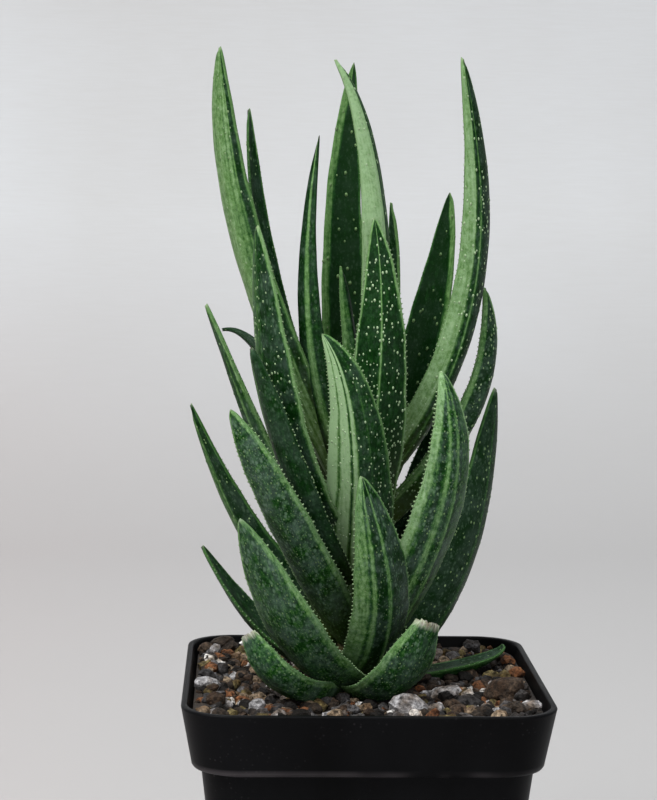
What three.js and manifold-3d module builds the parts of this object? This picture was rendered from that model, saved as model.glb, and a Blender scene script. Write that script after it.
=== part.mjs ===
// A potted variegated gasteraloe: stiff keeled leaves with pale toothed edges, spiralling round a
// short stem, in a square nursery pot filled with stony grit.
// Millimetres, +Z up. The origin is the middle of the pot's underside, and the front faces -Y.

import * as THREE from 'three';
import { mergeVertices } from 'three/addons/utils/BufferGeometryUtils.js';
import Module from 'manifold-3d';

const wasm = await Module();
wasm.setup();

// Clearance between pieces that touch
const GAP = 0.35;

// Pot
const POT_HEIGHT = 72;
const RIM_HALF = 38;
const RIM_CORNER = 10;
const RIM_ROUND = 0.4;
const COLLAR_HEIGHT = 13;
const COLLAR_FOOT_HALF = 36;
const COLLAR_ROUND = 1.6;
const BODY_TOP_HALF = 34;
const BODY_FOOT_HALF = 27;
const WALL = 1.2;
const FLOOR = 1.5;
const CORNER_STEPS = 6;
const DRAIN_RADIUS = 4;
const DRAIN_OFFSET = 16;
const DRAIN_SIDES = 16;

// Soil, and the grit that covers it
const SOIL_LEVEL = POT_HEIGHT - 4.5;
const GRIT_PITCH = 5.4;
const GRIT_SIZE = 3.2;
const GRIT_EDGE = 32.4;
const GRIT_SHAPE = [1.2, 1, 0.8];
const GRIT_VARIETY = 0.7;
const GRIT_SEED = 11;
const STONE_LIMIT = 33;
const STONE_TILT = 0.6;
const STONE_RISE = 0.1;

// Stem
const STEM_X = -2;
const STEM_Y = 6;
const STEM_DEPTH = 22;
const STEM_RISE = 47;
const STEM_FOOT_RADIUS = 4.5;
const STEM_TOP_RADIUS = 2;
const STEM_SIDES = 12;

// Leaves
const ROOT_RADIUS = 3;
const LEAF_THICKNESS = 3.2;
const TIP_THINNING = 0.75;
const EDGE_THICKNESS = 0.7;
const CHANNEL = 0.28;
const BELLY_AT = 0.3;
const ROOT_WIDTH = 0.8;
const TOOTH_HEIGHT = 0.7;
const TEETH_PER_STEP = 2;
const STEP_LENGTH = 10;
const FEWEST_STEPS = 6;
const MOST_STEPS = 10;
const LAST_RING = 0.97;
const TORN_NARROWING = 0.7;
const TORN_SHAPE = 4;
const TORN_DEPTH = 1.2;
const TORN_SEED = 5;
const TIP_SHAPE = 0.8;
const KEEL_SHAPE = 0.8;
const SWELL = 0.12;

// The big stones that show in front of the leaves and round them: x, y, and the size along x, y and z
const STONES = [
  { at: [-31.5, -6], size: [5.5, 4, 4] },
  { at: [-30.5, -17.5], size: [4, 4, 3.5] },
  { at: [-24.5, -9.5], size: [5, 3.5, 3] },
  { at: [-15, -13], size: [5.5, 3.5, 2.5] },
  { at: [-4.5, -18], size: [6, 3, 2.5] },
  { at: [-30, 31], size: [5.5, 4.5, 3.5] },
  { at: [9.5, -20], size: [8, 5.5, 4.8] },
  { at: [19, -6.5], size: [7, 4.5, 3.5] },
  { at: [22.5, -18], size: [5, 4, 3] },
  { at: [29, -9], size: [8.5, 6, 5.5] },
  { at: [28, 31], size: [5, 4.5, 3.5] },
];

// Each leaf: its name, the way its root faces in degrees from +X, and the root's height on the stem.
// Then the middle and the tip of its spine (x and y from the pot's middle, z above the soil), its width,
// its twist in degrees, how blunt it is (a higher number keeps its width for longer), and whether its
// end is torn and dry. They run from the top of the stem down.
const LEAVES = [
  ['young', 300, 48, [-3.5, 3, 74.5], [-6, 2, 91.5], 3.8, 0, 2.2],
  ['tall_left', 193, 46, [-25.7, 4, 94.7], [-31.5, 0, 136.8], 9, 35, 4.2],
  ['left_inner', 142, 46, [-19.4, 11, 83.3], [-25.3, 16, 124.6], 6.6, 3, 4.1],
  ['inner_slim', 250, 46, [-12.1, 4, 78.8], [-10.5, 6, 118.9], 7.7, 0, 1.2],
  ['tall_back', 85, 46, [-4.8, 17, 94.8], [-2.7, 22, 135], 10, 3, 2.2],
  ['tall_middle', 333, 44, [1.4, 0, 102.4], [-8.1, -3, 134.2], 11, -21, 1.15],
  ['tall_right', 349, 44, [21.4, 2, 84.2], [18.3, -2, 135.3], 9, -39, 4.2],
  ['behind_middle', 41, 42, [5.4, 9, 77.9], [4.9, 10, 104.9], 5.5, 2, 2.3],
  ['back_right', 48, 38, [13.1, 16, 73.8], [18.6, 20, 107.1], 11, 9, 2.6],
  ['left_curled', 150, 40, [-19.5, 16, 68.5], [-31, 22, 76.5], 5, 0, 2.4],
  ['middle_front', 286, 34, [2.3, -7, 72.3], [0.6, -6, 102], 13.8, -17, 1.8],
  ['right_mid', 359, 34, [23.2, 8, 60.7], [24.8, 6, 87.2], 7.2, -46, 4.2],
  ['back_1', 95, 34, [-3, 20, 64], [-3.5, 25, 84], 8, 0, 2.4],
  ['left_front', 222, 30, [-17.5, -9, 55.7], [-23.4, -10, 100.2], 14, -6, 4.2],
  ['left_outer', 192, 28, [-19.2, 1.5, 47.6], [-33.9, 0, 83.4], 10.1, 3, 4.2],
  ['back_2', 55, 28, [6.5, 18.5, 52], [11, 25, 72], 8, 0, 2.4],
  ['back_3', 128, 24, [-11, 18, 50], [-17, 25, 68], 8, 0, 2.4],
  ['left_slim', 231, 22, [-15.3, -14.2, 47.4], [-24.4, -16, 75.6], 11, -18, 4.2],
  ['front_broad', 259, 18, [-2.7, -14, 57.4], [-10.3, -17, 78.5], 17.2, 13, 1.2],
  ['back_4', 90, 16, [-2, 23, 42], [-2, 31, 60], 9, 0, 2.4],
  ['back_5', 40, 14, [11, 15, 38], [16.5, 19, 60], 9.5, 0, 2.4],
  ['left_broad', 250, 12, [-16.4, -17, 38.9], [-28.7, -20, 63.3], 9.4, 6, 3.5],
  ['far_left', 177, 12, [-23, 8, 31.1], [-37.2, 8, 61.4], 11, 50, 1.6],
  ['back_6', 145, 10, [-15, 15, 32], [-22.5, 20.5, 46], 8.5, 0, 2.4],
  ['back_7', 70, 6, [4, 23, 24], [7.5, 32, 36], 9.5, 0, 2.4],
  ['right_front', 313, 6, [15.7, -11, 42.6], [14.6, -9, 70.4], 13.7, -10, 2.9],
  ['low_far_left', 179, 5, [-20.7, 5.5, 12.3], [-34.4, 5, 31.1], 10, -13, 3.5],
  ['front_low', 291, 4, [3.6, -13.9, 22.8], [-2.2, -20, 49.9], 13.7, 9, 4.2],
  ['low_left', 250, 3, [-13.6, -15, 13.3], [-26.5, -21, 41.2], 14, -5, 4.2],
  ['back_8', 115, 3, [-9.5, 22.5, 18], [-14.5, 32, 26], 9.5, 0, 2.4],
  ['right_outer', 4, 2, [20.6, 10, 23.7], [28.6, 14, 64.9], 16, -41, 4.2],
  ['dry_left', 232, 1, [-15.6, -17, 5.4], [-24.8, -19, 17.7], 8, 28, 2, true],
  ['dry_right', 289, 1, [5.9, -14, 5.3], [12.7, -18, 20.3], 13.2, -1, 2, true],
  ['low_right', 25, 1, [24.5, 14, 3.5], [32, 18, 7], 5.5, 0, 3],
  ['back_9', 60, 1, [6.5, 20.5, 7], [12.5, 31, 11], 8, 0, 2.4],
].map(([name, faces, root, middle, tip, width, twist, blunt, torn = false]) => {
  return { name: `leaf_${name}`, faces, root, middle, tip, width, twist, blunt, torn };
});

// Colours and finishes
const LEAF_FINISH = { color: 0x4f7a4a, roughness: 0.5, metalness: 0 };
const DRY_LEAF_FINISH = { color: 0x6d7f55, roughness: 0.7, metalness: 0 };
const STEM_FINISH = { color: 0x8a9a5b, roughness: 0.7, metalness: 0 };
const SOIL_FINISH = { color: 0x6b5a4c, roughness: 0.95, metalness: 0 };
const POT_FINISH = { color: 0x1c1c1f, roughness: 0.45, metalness: 0 };

// Solids: a shape is a list of points and a list of triangles, and a solid is what can be joined or cut.

function solidFromShape(shape) {
  const mesh = new wasm.Mesh({
    numProp: 3,
    vertProperties: new Float32Array(shape.points.flatMap((point) => [point.x, point.y, point.z])),
    triVerts: new Uint32Array(shape.triangles.flat()),
  });
  return new wasm.Manifold(mesh);
}

function solidFromGeometry(geometry) {
  const bare = geometry.clone();
  bare.deleteAttribute('normal');
  bare.deleteAttribute('uv');
  const merged = mergeVertices(bare);
  const mesh = new wasm.Mesh({
    numProp: 3,
    vertProperties: new Float32Array(merged.getAttribute('position').array),
    triVerts: new Uint32Array(merged.getIndex().array),
  });
  return new wasm.Manifold(mesh);
}

// The largest body of a solid, without the scraps that a cut leaves loose.
function largestBody(solid) {
  const bodies = solid.decompose();
  bodies.sort((a, b) => b.volume() - a.volume());
  return bodies[0];
}

function meshFromSolid(name, solid, finish) {
  const cut = solid.getMesh();
  const geometry = new THREE.BufferGeometry();
  const positions = new THREE.BufferAttribute(new Float32Array(cut.vertProperties), cut.numProp);
  geometry.setAttribute('position', positions);
  geometry.setIndex(new THREE.BufferAttribute(new Uint32Array(cut.triVerts), 1));
  geometry.computeVertexNormals();
  const mesh = new THREE.Mesh(geometry, new THREE.MeshStandardMaterial(finish));
  mesh.name = name;
  return mesh;
}

// A repeatable run of numbers between 0 and 1.
function randomFrom(seed) {
  let state = seed;
  return () => {
    state = (state * 16807) % 2147483647;
    return state / 2147483647;
  };
}

// A skin over a row of rings with equal numbers of points, closed at both ends by a fan.
function loft(rings, firstCentre, lastCentre) {
  const count = rings[0].length;
  const points = [...rings.flat(), firstCentre, lastCentre];
  const first = rings.length * count;
  const lastRing = (rings.length - 1) * count;
  const triangles = [];
  for (let k = 0; k < count; k += 1) {
    const next = (k + 1) % count;
    for (let i = 0; i < rings.length - 1; i += 1) {
      const low = i * count;
      const high = low + count;
      triangles.push([low + k, low + next, high + next], [low + k, high + next, high + k]);
    }
    triangles.push([first, next, k], [first + 1, lastRing + k, lastRing + next]);
  }
  return { points, triangles };
}

// Pot and soil: rings of one rounded square, whose corner keeps its share of the width.
function squareRing(half, z) {
  const corner = (RIM_CORNER * half) / RIM_HALF;
  const points = [];
  for (let quarter = 0; quarter < 4; quarter += 1) {
    const middle = (quarter + 0.5) * (Math.PI / 2);
    const x = Math.sign(Math.cos(middle)) * (half - corner);
    const y = Math.sign(Math.sin(middle)) * (half - corner);
    for (let step = 0; step <= CORNER_STEPS; step += 1) {
      const angle = (quarter + step / CORNER_STEPS) * (Math.PI / 2);
      points.push(new THREE.Vector3(x + corner * Math.cos(angle), y + corner * Math.sin(angle), z));
    }
  }
  return points;
}

const COLLAR_FOOT = POT_HEIGHT - COLLAR_HEIGHT;

function pot() {
  const rings = [
    squareRing(BODY_FOOT_HALF, 0),
    squareRing(BODY_TOP_HALF, COLLAR_FOOT),
    squareRing(COLLAR_FOOT_HALF - COLLAR_ROUND / 2, COLLAR_FOOT),
    squareRing(COLLAR_FOOT_HALF, COLLAR_FOOT + COLLAR_ROUND),
    squareRing(RIM_HALF, POT_HEIGHT - RIM_ROUND),
    squareRing(RIM_HALF - RIM_ROUND, POT_HEIGHT),
    squareRing(RIM_HALF - WALL, POT_HEIGHT),
    squareRing(COLLAR_FOOT_HALF - WALL, COLLAR_FOOT + COLLAR_ROUND),
    squareRing(BODY_TOP_HALF - WALL, COLLAR_FOOT - WALL),
    squareRing(BODY_FOOT_HALF - WALL, FLOOR),
  ];
  let solid = solidFromShape(loft(rings, new THREE.Vector3(0, 0, 0), new THREE.Vector3(0, 0, FLOOR)));
  for (const x of [-DRAIN_OFFSET, DRAIN_OFFSET]) {
    for (const y of [-DRAIN_OFFSET, DRAIN_OFFSET]) {
      const drain = new THREE.CylinderGeometry(DRAIN_RADIUS, DRAIN_RADIUS, 4 * FLOOR, DRAIN_SIDES);
      drain.rotateX(Math.PI / 2);
      drain.translate(x, y, 0);
      solid = solid.subtract(solidFromGeometry(drain));
    }
  }
  return solid;
}

// Stem: a short taper with its foot in the soil. A grown stem is the space that other pieces leave it.
function stem(grown = 0) {
  const height = STEM_DEPTH + STEM_RISE + 2 * grown;
  const top = STEM_TOP_RADIUS + grown;
  const shape = new THREE.CylinderGeometry(top, STEM_FOOT_RADIUS + grown, height, STEM_SIDES);
  shape.rotateX(Math.PI / 2);
  shape.translate(STEM_X, STEM_Y, SOIL_LEVEL - STEM_DEPTH - grown + height / 2);
  return solidFromGeometry(shape);
}

// Leaf: its spine is a curve through root, middle and tip, and its section has a keel at the back and a
// channel in front. across runs from one edge (-1) to the other (1), and back marks the keel's side.
const SECTION = [
  { across: -1, back: false },
  { across: -1, back: true },
  { across: -0.62, back: true },
  { across: 0, back: true },
  { across: 0.62, back: true },
  { across: 1, back: true },
  { across: 1, back: false },
  { across: 0.5, back: false },
  { across: 0, back: false },
  { across: -0.5, back: false },
];
const LEFT_EDGE = 0;
const RIGHT_EDGE = 5;

function spineOf(leaf) {
  const turn = THREE.MathUtils.degToRad(leaf.faces);
  const rootX = STEM_X + ROOT_RADIUS * Math.cos(turn);
  const rootY = STEM_Y + ROOT_RADIUS * Math.sin(turn);
  const root = new THREE.Vector3(rootX, rootY, SOIL_LEVEL + leaf.root);
  const middle = new THREE.Vector3(leaf.middle[0], leaf.middle[1], SOIL_LEVEL + leaf.middle[2]);
  const tip = new THREE.Vector3(leaf.tip[0], leaf.tip[1], SOIL_LEVEL + leaf.tip[2]);
  const bend = middle.clone().multiplyScalar(2).addScaledVector(root, -0.5).addScaledVector(tip, -0.5);
  return new THREE.QuadraticBezierCurve3(root, bend, tip);
}

function halfWidth(leaf, t) {
  const belly = ROOT_WIDTH + (1 - ROOT_WIDTH) * Math.sin((Math.PI / 2) * Math.min(1, t / BELLY_AT));
  const narrowing = leaf.torn ? 1 - TORN_NARROWING * t ** TORN_SHAPE : (1 - t ** leaf.blunt) ** TIP_SHAPE;
  return (leaf.width / 2) * belly * narrowing;
}

// The directions along the leaf, across it, and out of its channelled face.
function frameAt(leaf, spine, t) {
  const turn = THREE.MathUtils.degToRad(leaf.faces);
  const along = spine.getTangent(t);
  const across = new THREE.Vector3(-Math.sin(turn), Math.cos(turn), 0);
  across.addScaledVector(along, -across.dot(along)).normalize();
  across.applyAxisAngle(along, THREE.MathUtils.degToRad(leaf.twist));
  return { centre: spine.getPoint(t), along, across, face: along.clone().cross(across) };
}

function leafRing(leaf, spine, t, grown) {
  const half = halfWidth(leaf, t);
  const swell = Math.min(1, (2 * half) / leaf.width + SWELL);
  const thickness = Math.max(EDGE_THICKNESS, LEAF_THICKNESS * (1 - TIP_THINNING * t) * swell);
  const frame = frameAt(leaf, spine, t);
  const reach = half + (grown > 0 ? TOOTH_HEIGHT + 2 * grown : 0);
  return SECTION.map(({ across, back }) => {
    const keel = (thickness - EDGE_THICKNESS) * (1 - Math.abs(across)) ** KEEL_SHAPE;
    const depth = back ? EDGE_THICKNESS + keel + grown : -grown;
    const point = frame.centre.clone().addScaledVector(frame.across, across * reach);
    return point.addScaledVector(frame.face, (CHANNEL * (across * reach) ** 2) / half - depth);
  });
}

function stepsOf(spine) {
  const steps = Math.round(spine.getLength() / STEP_LENGTH);
  return Math.min(MOST_STEPS, Math.max(FEWEST_STEPS, steps));
}

// Splits the edge between two rings into teeth. corners are the point numbers of the edge's two lines,
// at the near ring and at the far ring, and inner are the neighbours that the faces beside it run to.
function addTeeth(shape, corners, inner, outward, height) {
  const { points, triangles } = shape;
  const [upperNear, lowerNear, upperFar, lowerFar] = corners;
  const [upperInner, lowerInner, upperInnerFar, lowerInnerFar] = inner;
  let upper = upperNear;
  let lower = lowerNear;
  for (let tooth = 1; tooth <= TEETH_PER_STEP; tooth += 1) {
    let upperNext = upperFar;
    let lowerNext = lowerFar;
    if (tooth < TEETH_PER_STEP) {
      const share = tooth / TEETH_PER_STEP;
      upperNext = points.push(points[upperNear].clone().lerp(points[upperFar], share)) - 1;
      lowerNext = points.push(points[lowerNear].clone().lerp(points[lowerFar], share)) - 1;
    }
    const peak = points[upper].clone().add(points[lower]).add(points[upperNext]).add(points[lowerNext]);
    peak.multiplyScalar(0.25).addScaledVector(outward, height);
    const top = points.push(peak) - 1;
    triangles.push([upper, lower, top], [lower, lowerNext, top], [lowerNext, upperNext, top]);
    triangles.push([upperNext, upper, top], [upperInner, upper, upperNext], [lowerInner, lowerNext, lower]);
    upper = upperNext;
    lower = lowerNext;
  }
  triangles.push([upperInner, upperFar, upperInnerFar], [lowerInner, lowerInnerFar, lowerFar]);
}

function flipped(triangles) {
  return triangles.map(([a, b, c]) => [a, c, b]);
}

function leafShape(leaf, grown = 0) {
  const spine = spineOf(leaf);
  const steps = stepsOf(spine);
  const count = SECTION.length;
  const shape = { points: [], triangles: [] };
  for (let i = 0; i <= steps; i += 1) {
    const t = i < steps ? i / steps : LAST_RING;
    shape.points.push(...leafRing(leaf, spine, t, grown));
  }
  const start = frameAt(leaf, spine, 0);
  for (let k = 0; k < count; k += 1) {
    shape.points[k].addScaledVector(start.along, -grown);
  }
  const random = randomFrom(TORN_SEED);
  const end = frameAt(leaf, spine, LAST_RING);
  if (leaf.torn) {
    for (let k = 0; k < count; k += 1) {
      shape.points[steps * count + k].addScaledVector(end.along, TORN_DEPTH * (random() - 0.5));
    }
  }
  const rootMiddle = start.centre.clone().addScaledVector(start.face, -EDGE_THICKNESS);
  rootMiddle.addScaledVector(start.along, -grown);
  const root = shape.points.push(rootMiddle) - 1;
  const tipMiddle = spine.getPoint(leaf.torn ? LAST_RING : 1).addScaledVector(end.along, grown);
  const tip = shape.points.push(tipMiddle) - 1;
  for (let i = 0; i < steps; i += 1) {
    const near = i * count;
    const far = near + count;
    const toothed = grown === 0 && i > 0;
    for (let k = 0; k < count; k += 1) {
      const next = (k + 1) % count;
      const besideLeft = k === count - 1 || k === LEFT_EDGE || k === LEFT_EDGE + 1;
      const besideRight = k === RIGHT_EDGE - 1 || k === RIGHT_EDGE || k === RIGHT_EDGE + 1;
      if (!(toothed && (besideLeft || besideRight))) {
        shape.triangles.push([near + k, near + next, far + next], [near + k, far + next, far + k]);
      }
    }
    if (toothed) {
      const { across } = frameAt(leaf, spine, (i + 0.5) / steps);
      const height = Math.min(TOOTH_HEIGHT, halfWidth(leaf, (i + 0.5) / steps) / 3);
      const left = { points: shape.points, triangles: [] };
      addTeeth(
        left,
        [near, near + 1, far, far + 1],
        [near + count - 1, near + 2, far + count - 1, far + 2],
        across.clone().negate(),
        height,
      );
      const right = { points: shape.points, triangles: [] };
      addTeeth(
        right,
        [near + RIGHT_EDGE + 1, near + RIGHT_EDGE, far + RIGHT_EDGE + 1, far + RIGHT_EDGE],
        [near + RIGHT_EDGE + 2, near + RIGHT_EDGE - 1, far + RIGHT_EDGE + 2, far + RIGHT_EDGE - 1],
        across,
        height,
      );
      shape.triangles.push(...left.triangles, ...flipped(right.triangles));
    }
  }
  for (let k = 0; k < count; k += 1) {
    const next = (k + 1) % count;
    shape.triangles.push([root, next, k], [tip, steps * count + k, steps * count + next]);
  }
  return shape;
}

// Every leaf in turn, from the top of the stem down. A lower leaf clasps the stem and the leaves above it,
// so it is cut back from them by the clearance.
function leaves() {
  const grownStem = stem(GAP);
  const above = [];
  const solids = new Map();
  for (const leaf of LEAVES) {
    let solid = solidFromShape(leafShape(leaf)).subtract(grownStem);
    for (const other of above) {
      solid = solid.subtract(other);
    }
    solids.set(leaf.name, largestBody(solid));
    above.push(solidFromShape(leafShape(leaf, GAP)));
  }
  return { solids, above };
}

// A stone: a squashed and turned twenty-sided lump, or an eight-sided one for the small grit.
function stone(x, y, size, random, small) {
  const lump = small ? new THREE.OctahedronGeometry(1, 0) : new THREE.IcosahedronGeometry(1, 0);
  const turn = new THREE.Euler(random() * STONE_TILT, random() * STONE_TILT, random() * Math.PI * 2);
  const scale = new THREE.Vector3(size[0] / 2, size[1] / 2, size[2] / 2);
  const place = new THREE.Vector3(x, y, SOIL_LEVEL + size[2] * STONE_RISE);
  lump.applyMatrix4(new THREE.Matrix4().compose(place, new THREE.Quaternion().setFromEuler(turn), scale));
  return solidFromGeometry(lump);
}

// What the pot holds up to a level, clear of its walls by the clearance.
function potFilling(level) {
  const rise = (level - COLLAR_FOOT - COLLAR_ROUND) / (COLLAR_HEIGHT - COLLAR_ROUND);
  const topHalf = COLLAR_FOOT_HALF + (RIM_HALF - COLLAR_FOOT_HALF) * rise;
  const rings = [
    squareRing(BODY_FOOT_HALF - WALL - GAP, FLOOR + GAP),
    squareRing(BODY_TOP_HALF - WALL - GAP, COLLAR_FOOT - WALL),
    squareRing(COLLAR_FOOT_HALF - WALL - GAP, COLLAR_FOOT + COLLAR_ROUND),
    squareRing(topHalf - WALL - GAP, level),
  ];
  const foot = new THREE.Vector3(0, 0, FLOOR + GAP);
  return solidFromShape(loft(rings, foot, new THREE.Vector3(0, 0, level)));
}

// The soil fills the pot to its level. It has a plain hole for the stem and is cut back from low leaves.
function soil(lowLeaves) {
  let solid = potFilling(SOIL_LEVEL);
  const random = randomFrom(GRIT_SEED);
  for (const { at, size } of STONES) {
    solid = solid.add(stone(at[0], at[1], size, random, false));
  }
  for (let x = -GRIT_EDGE; x <= GRIT_EDGE; x += GRIT_PITCH) {
    for (let y = -GRIT_EDGE; y <= GRIT_EDGE; y += GRIT_PITCH) {
      const atX = THREE.MathUtils.clamp(x + (random() - 0.5) * GRIT_PITCH, -STONE_LIMIT, STONE_LIMIT);
      const atY = THREE.MathUtils.clamp(y + (random() - 0.5) * GRIT_PITCH, -STONE_LIMIT, STONE_LIMIT);
      const size = GRIT_SHAPE.map((part) => GRIT_SIZE * part * (1 + GRIT_VARIETY * random()));
      solid = solid.add(stone(atX, atY, size, random, true));
    }
  }
  solid = solid.intersect(potFilling(POT_HEIGHT)).subtract(stem(GAP));
  for (const leaf of lowLeaves) {
    solid = solid.subtract(leaf);
  }
  return largestBody(solid);
}

const plant = new THREE.Group();
plant.name = 'potted_gasteraloe';
const { solids, above } = leaves();
plant.add(meshFromSolid('pot', pot(), POT_FINISH));
plant.add(meshFromSolid('soil', soil(above), SOIL_FINISH));
plant.add(meshFromSolid('stem', stem(), STEM_FINISH));
for (const leaf of LEAVES) {
  plant.add(meshFromSolid(leaf.name, solids.get(leaf.name), leaf.torn ? DRY_LEAF_FINISH : LEAF_FINISH));
}

export default plant;
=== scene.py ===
# %% [markdown]
# A potted variegated gasteraloe.
# The plant is a rosette of stiff leaves on a short stem, in a square nursery pot filled with stony grit.
# The solid model fixes where every leaf, the stem, the soil and the pot are. This file keeps those places
# and adds what the eye looks for: fine leaf surfaces with toothed edges and white spots, dry torn ends, some
# two thousand stones of many minerals, and a worn plastic pot.

# %% Load the solid model
import math

import bpy
import numpy as np
from mathutils import Matrix, Vector


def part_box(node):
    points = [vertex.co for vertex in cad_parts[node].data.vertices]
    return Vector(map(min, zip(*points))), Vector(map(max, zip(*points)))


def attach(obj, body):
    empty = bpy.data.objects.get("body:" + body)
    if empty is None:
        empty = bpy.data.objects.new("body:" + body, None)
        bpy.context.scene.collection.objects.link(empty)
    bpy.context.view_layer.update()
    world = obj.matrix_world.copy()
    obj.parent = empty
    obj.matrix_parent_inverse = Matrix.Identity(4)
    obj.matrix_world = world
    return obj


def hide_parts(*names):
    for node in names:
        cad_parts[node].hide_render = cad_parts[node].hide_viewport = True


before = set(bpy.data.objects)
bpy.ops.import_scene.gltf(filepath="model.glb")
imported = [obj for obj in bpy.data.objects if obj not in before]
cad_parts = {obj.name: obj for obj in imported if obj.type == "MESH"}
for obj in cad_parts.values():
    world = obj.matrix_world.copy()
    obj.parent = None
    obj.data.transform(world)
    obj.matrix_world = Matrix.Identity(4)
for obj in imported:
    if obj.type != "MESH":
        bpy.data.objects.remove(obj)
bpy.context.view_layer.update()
MM = 0.001

# %% [markdown]
# The camera comes first, so that every later choice can be judged from the photograph's own view.
# A camera in Blender looks along its own -Z, with its own +Y up. Its place and its turn could be set by
# eye, but here they were worked out from the pot's square rim, whose four rounded corners and known width
# give one answer. The turn is written as three angles: aim, tilt and roll.

# %% Camera
CAMERA_PLACE = Vector((-26.0, -460.0, 179.5)) * MM
CAMERA_AIM = math.radians(-2.23)
CAMERA_TILT = math.radians(6.05)
CAMERA_ROLL = math.radians(0.82)
CAMERA_LENS = 98.55


def camera_turn(aim, tilt, roll):
    """The camera's three axes as the columns of a matrix."""
    ahead = Vector((-math.sin(aim) * math.cos(tilt), math.cos(aim) * math.cos(tilt), -math.sin(tilt)))
    level = Vector((math.cos(aim), math.sin(aim), 0.0))
    up = level.cross(ahead)
    rolled_level = level * math.cos(roll) + up * math.sin(roll)
    rolled_up = up * math.cos(roll) - level * math.sin(roll)
    return Matrix((rolled_level, rolled_up, -ahead)).transposed().to_4x4()


camera_data = bpy.data.cameras.new("camera")
camera_data.lens = CAMERA_LENS
camera_data.clip_start = 0.01
camera = bpy.data.objects.new("camera", camera_data)
camera.matrix_world = Matrix.Translation(CAMERA_PLACE) @ camera_turn(CAMERA_AIM, CAMERA_TILT, CAMERA_ROLL)
bpy.context.scene.collection.objects.link(camera)
bpy.context.scene.camera = camera
print("camera at", tuple(camera.location))

# %% [markdown]
# Every piece below is made as a plain mesh whose points are already in their final place, so its object
# stays at the origin. Four small helpers do the routine work. One turns points and faces into an object.
# One joins a stack of rings into a closed skin, which serves leaves, pot and soil alike. One writes a
# number for every point of a mesh, which a material or a modifier can read by name, and the last is a
# soft step from 0 to 1.

# %% Helpers for meshes


def piece_from_mesh(name, points, faces):
    mesh = bpy.data.meshes.new(name)
    mesh.from_pydata([tuple(p) for p in points], [], [tuple(f) for f in faces])
    mesh.polygons.foreach_set("use_smooth", [True] * len(mesh.polygons))
    mesh.update()
    piece = bpy.data.objects.new(name, mesh)
    bpy.context.scene.collection.objects.link(piece)
    return piece


def closed_loft(rings, first, last):
    """Points and faces for a stack of rings, closed by a fan round one point at each end."""
    count = len(rings[0])
    points = np.vstack([*rings, first, last])
    top = (len(rings) - 1) * count
    faces = []
    for base in range(0, top, count):
        for k in range(count):
            after = (k + 1) % count
            faces.append((base + k, base + after, base + count + after, base + count + k))
    for k in range(count):
        after = (k + 1) % count
        faces += [(len(points) - 2, after, k), (len(points) - 1, top + k, top + after)]
    return points, faces


def write_numbers(mesh, name, values):
    """Stores one number, or one vector, for each point of a mesh."""
    values = np.asarray(values, dtype=np.float32)
    kind, field = ("FLOAT", "value") if values.ndim == 1 else ("FLOAT_VECTOR", "vector")
    mesh.attributes.new(name, kind, "POINT").data.foreach_set(field, values.ravel())


def smooth_step(low, high, value):
    share = np.clip((value - low) / (high - low), 0.0, 1.0)
    return share * share * (3 - 2 * share)


# %% [markdown]
# Materials here are built from nodes. Writing each node and link by hand takes three or four lines, so
# this small class keeps the recipes short: add() makes a node with its settings and its inputs, and an
# input may be a plain value or the output of another node. The other methods name what is used often.

# %% Helper for node trees


class Recipe:
    def __init__(self, tree):
        self.tree = tree

    def fill(self, socket, value):
        if isinstance(value, bpy.types.NodeSocket):
            self.tree.links.new(value, socket)
        else:
            socket.default_value = (*value, 1.0) if socket.type == "RGBA" else value

    def add(self, kind, settings=None, **inputs):
        node = self.tree.nodes.new(kind)
        for key, value in (settings or {}).items():
            setattr(node, key, value)
        for key, value in inputs.items():
            place = int(key[1:]) if key[0] == "i" and key[1:].isdigit() else key.replace("_", " ")
            self.fill(node.inputs[place], value)
        return node

    def math(self, operation, first, second=0.0, third=0.0):
        settings = {"operation": operation.rstrip("!"), "use_clamp": operation.endswith("!")}
        return self.add("ShaderNodeMath", settings, i0=first, i1=second, i2=third).outputs[0]

    def blend(self, share, first, second, way="MIX"):
        settings = {"data_type": "RGBA", "blend_type": way}
        return self.add("ShaderNodeMix", settings, i0=share, i6=first, i7=second).outputs[2]

    def room(self):
        return self.add("ShaderNodeTexCoord").outputs["Object"]

    def number(self, name):
        return self.add("ShaderNodeAttribute", {"attribute_name": name}).outputs["Fac"]

    def vector(self, name):
        return self.add("ShaderNodeAttribute", {"attribute_name": name}).outputs["Vector"]

    def stretch(self, vector, scale):
        return self.add("ShaderNodeMapping", None, Vector=vector, Scale=scale).outputs[0]

    def noise(self, vector, scale, detail=3.0, roughness=0.5):
        node = self.add("ShaderNodeTexNoise", None, Vector=vector, Scale=scale, Detail=detail)
        node.inputs["Roughness"].default_value = roughness
        return node.outputs["Fac"]

    def rescaled(self, value, low, high, at_low=0.0, at_high=1.0):
        """Where value goes from low to high, this goes from at_low to at_high."""
        node = self.add("ShaderNodeMapRange", None, Value=value, From_Min=low, From_Max=high)
        self.fill(node.inputs["To Min"], at_low)
        self.fill(node.inputs["To Max"], at_high)
        return node.outputs[0]

    def ramp(self, factor, stops, interpolation="LINEAR"):
        node = self.add("ShaderNodeValToRGB", None, Fac=factor)
        node.color_ramp.interpolation = interpolation
        points = node.color_ramp.elements
        while len(points) < len(stops):
            points.new(0.5)
        for point, (place, colour) in zip(points, stops):
            point.position = place
            point.color = (*colour, 1.0)
        return node.outputs["Color"]

    def relief(self, shader, height, strength, depth):
        """Bump on a shader, with its depth in millimetres."""
        bump = self.add("ShaderNodeBump", None, Height=height, Strength=strength, Distance=depth * MM)
        self.fill(shader.inputs["Normal"], bump.outputs[0])


def new_material(name):
    material = bpy.data.materials.new(name)
    material.use_nodes = True
    return material, Recipe(material.node_tree), material.node_tree.nodes["Principled BSDF"]


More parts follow.
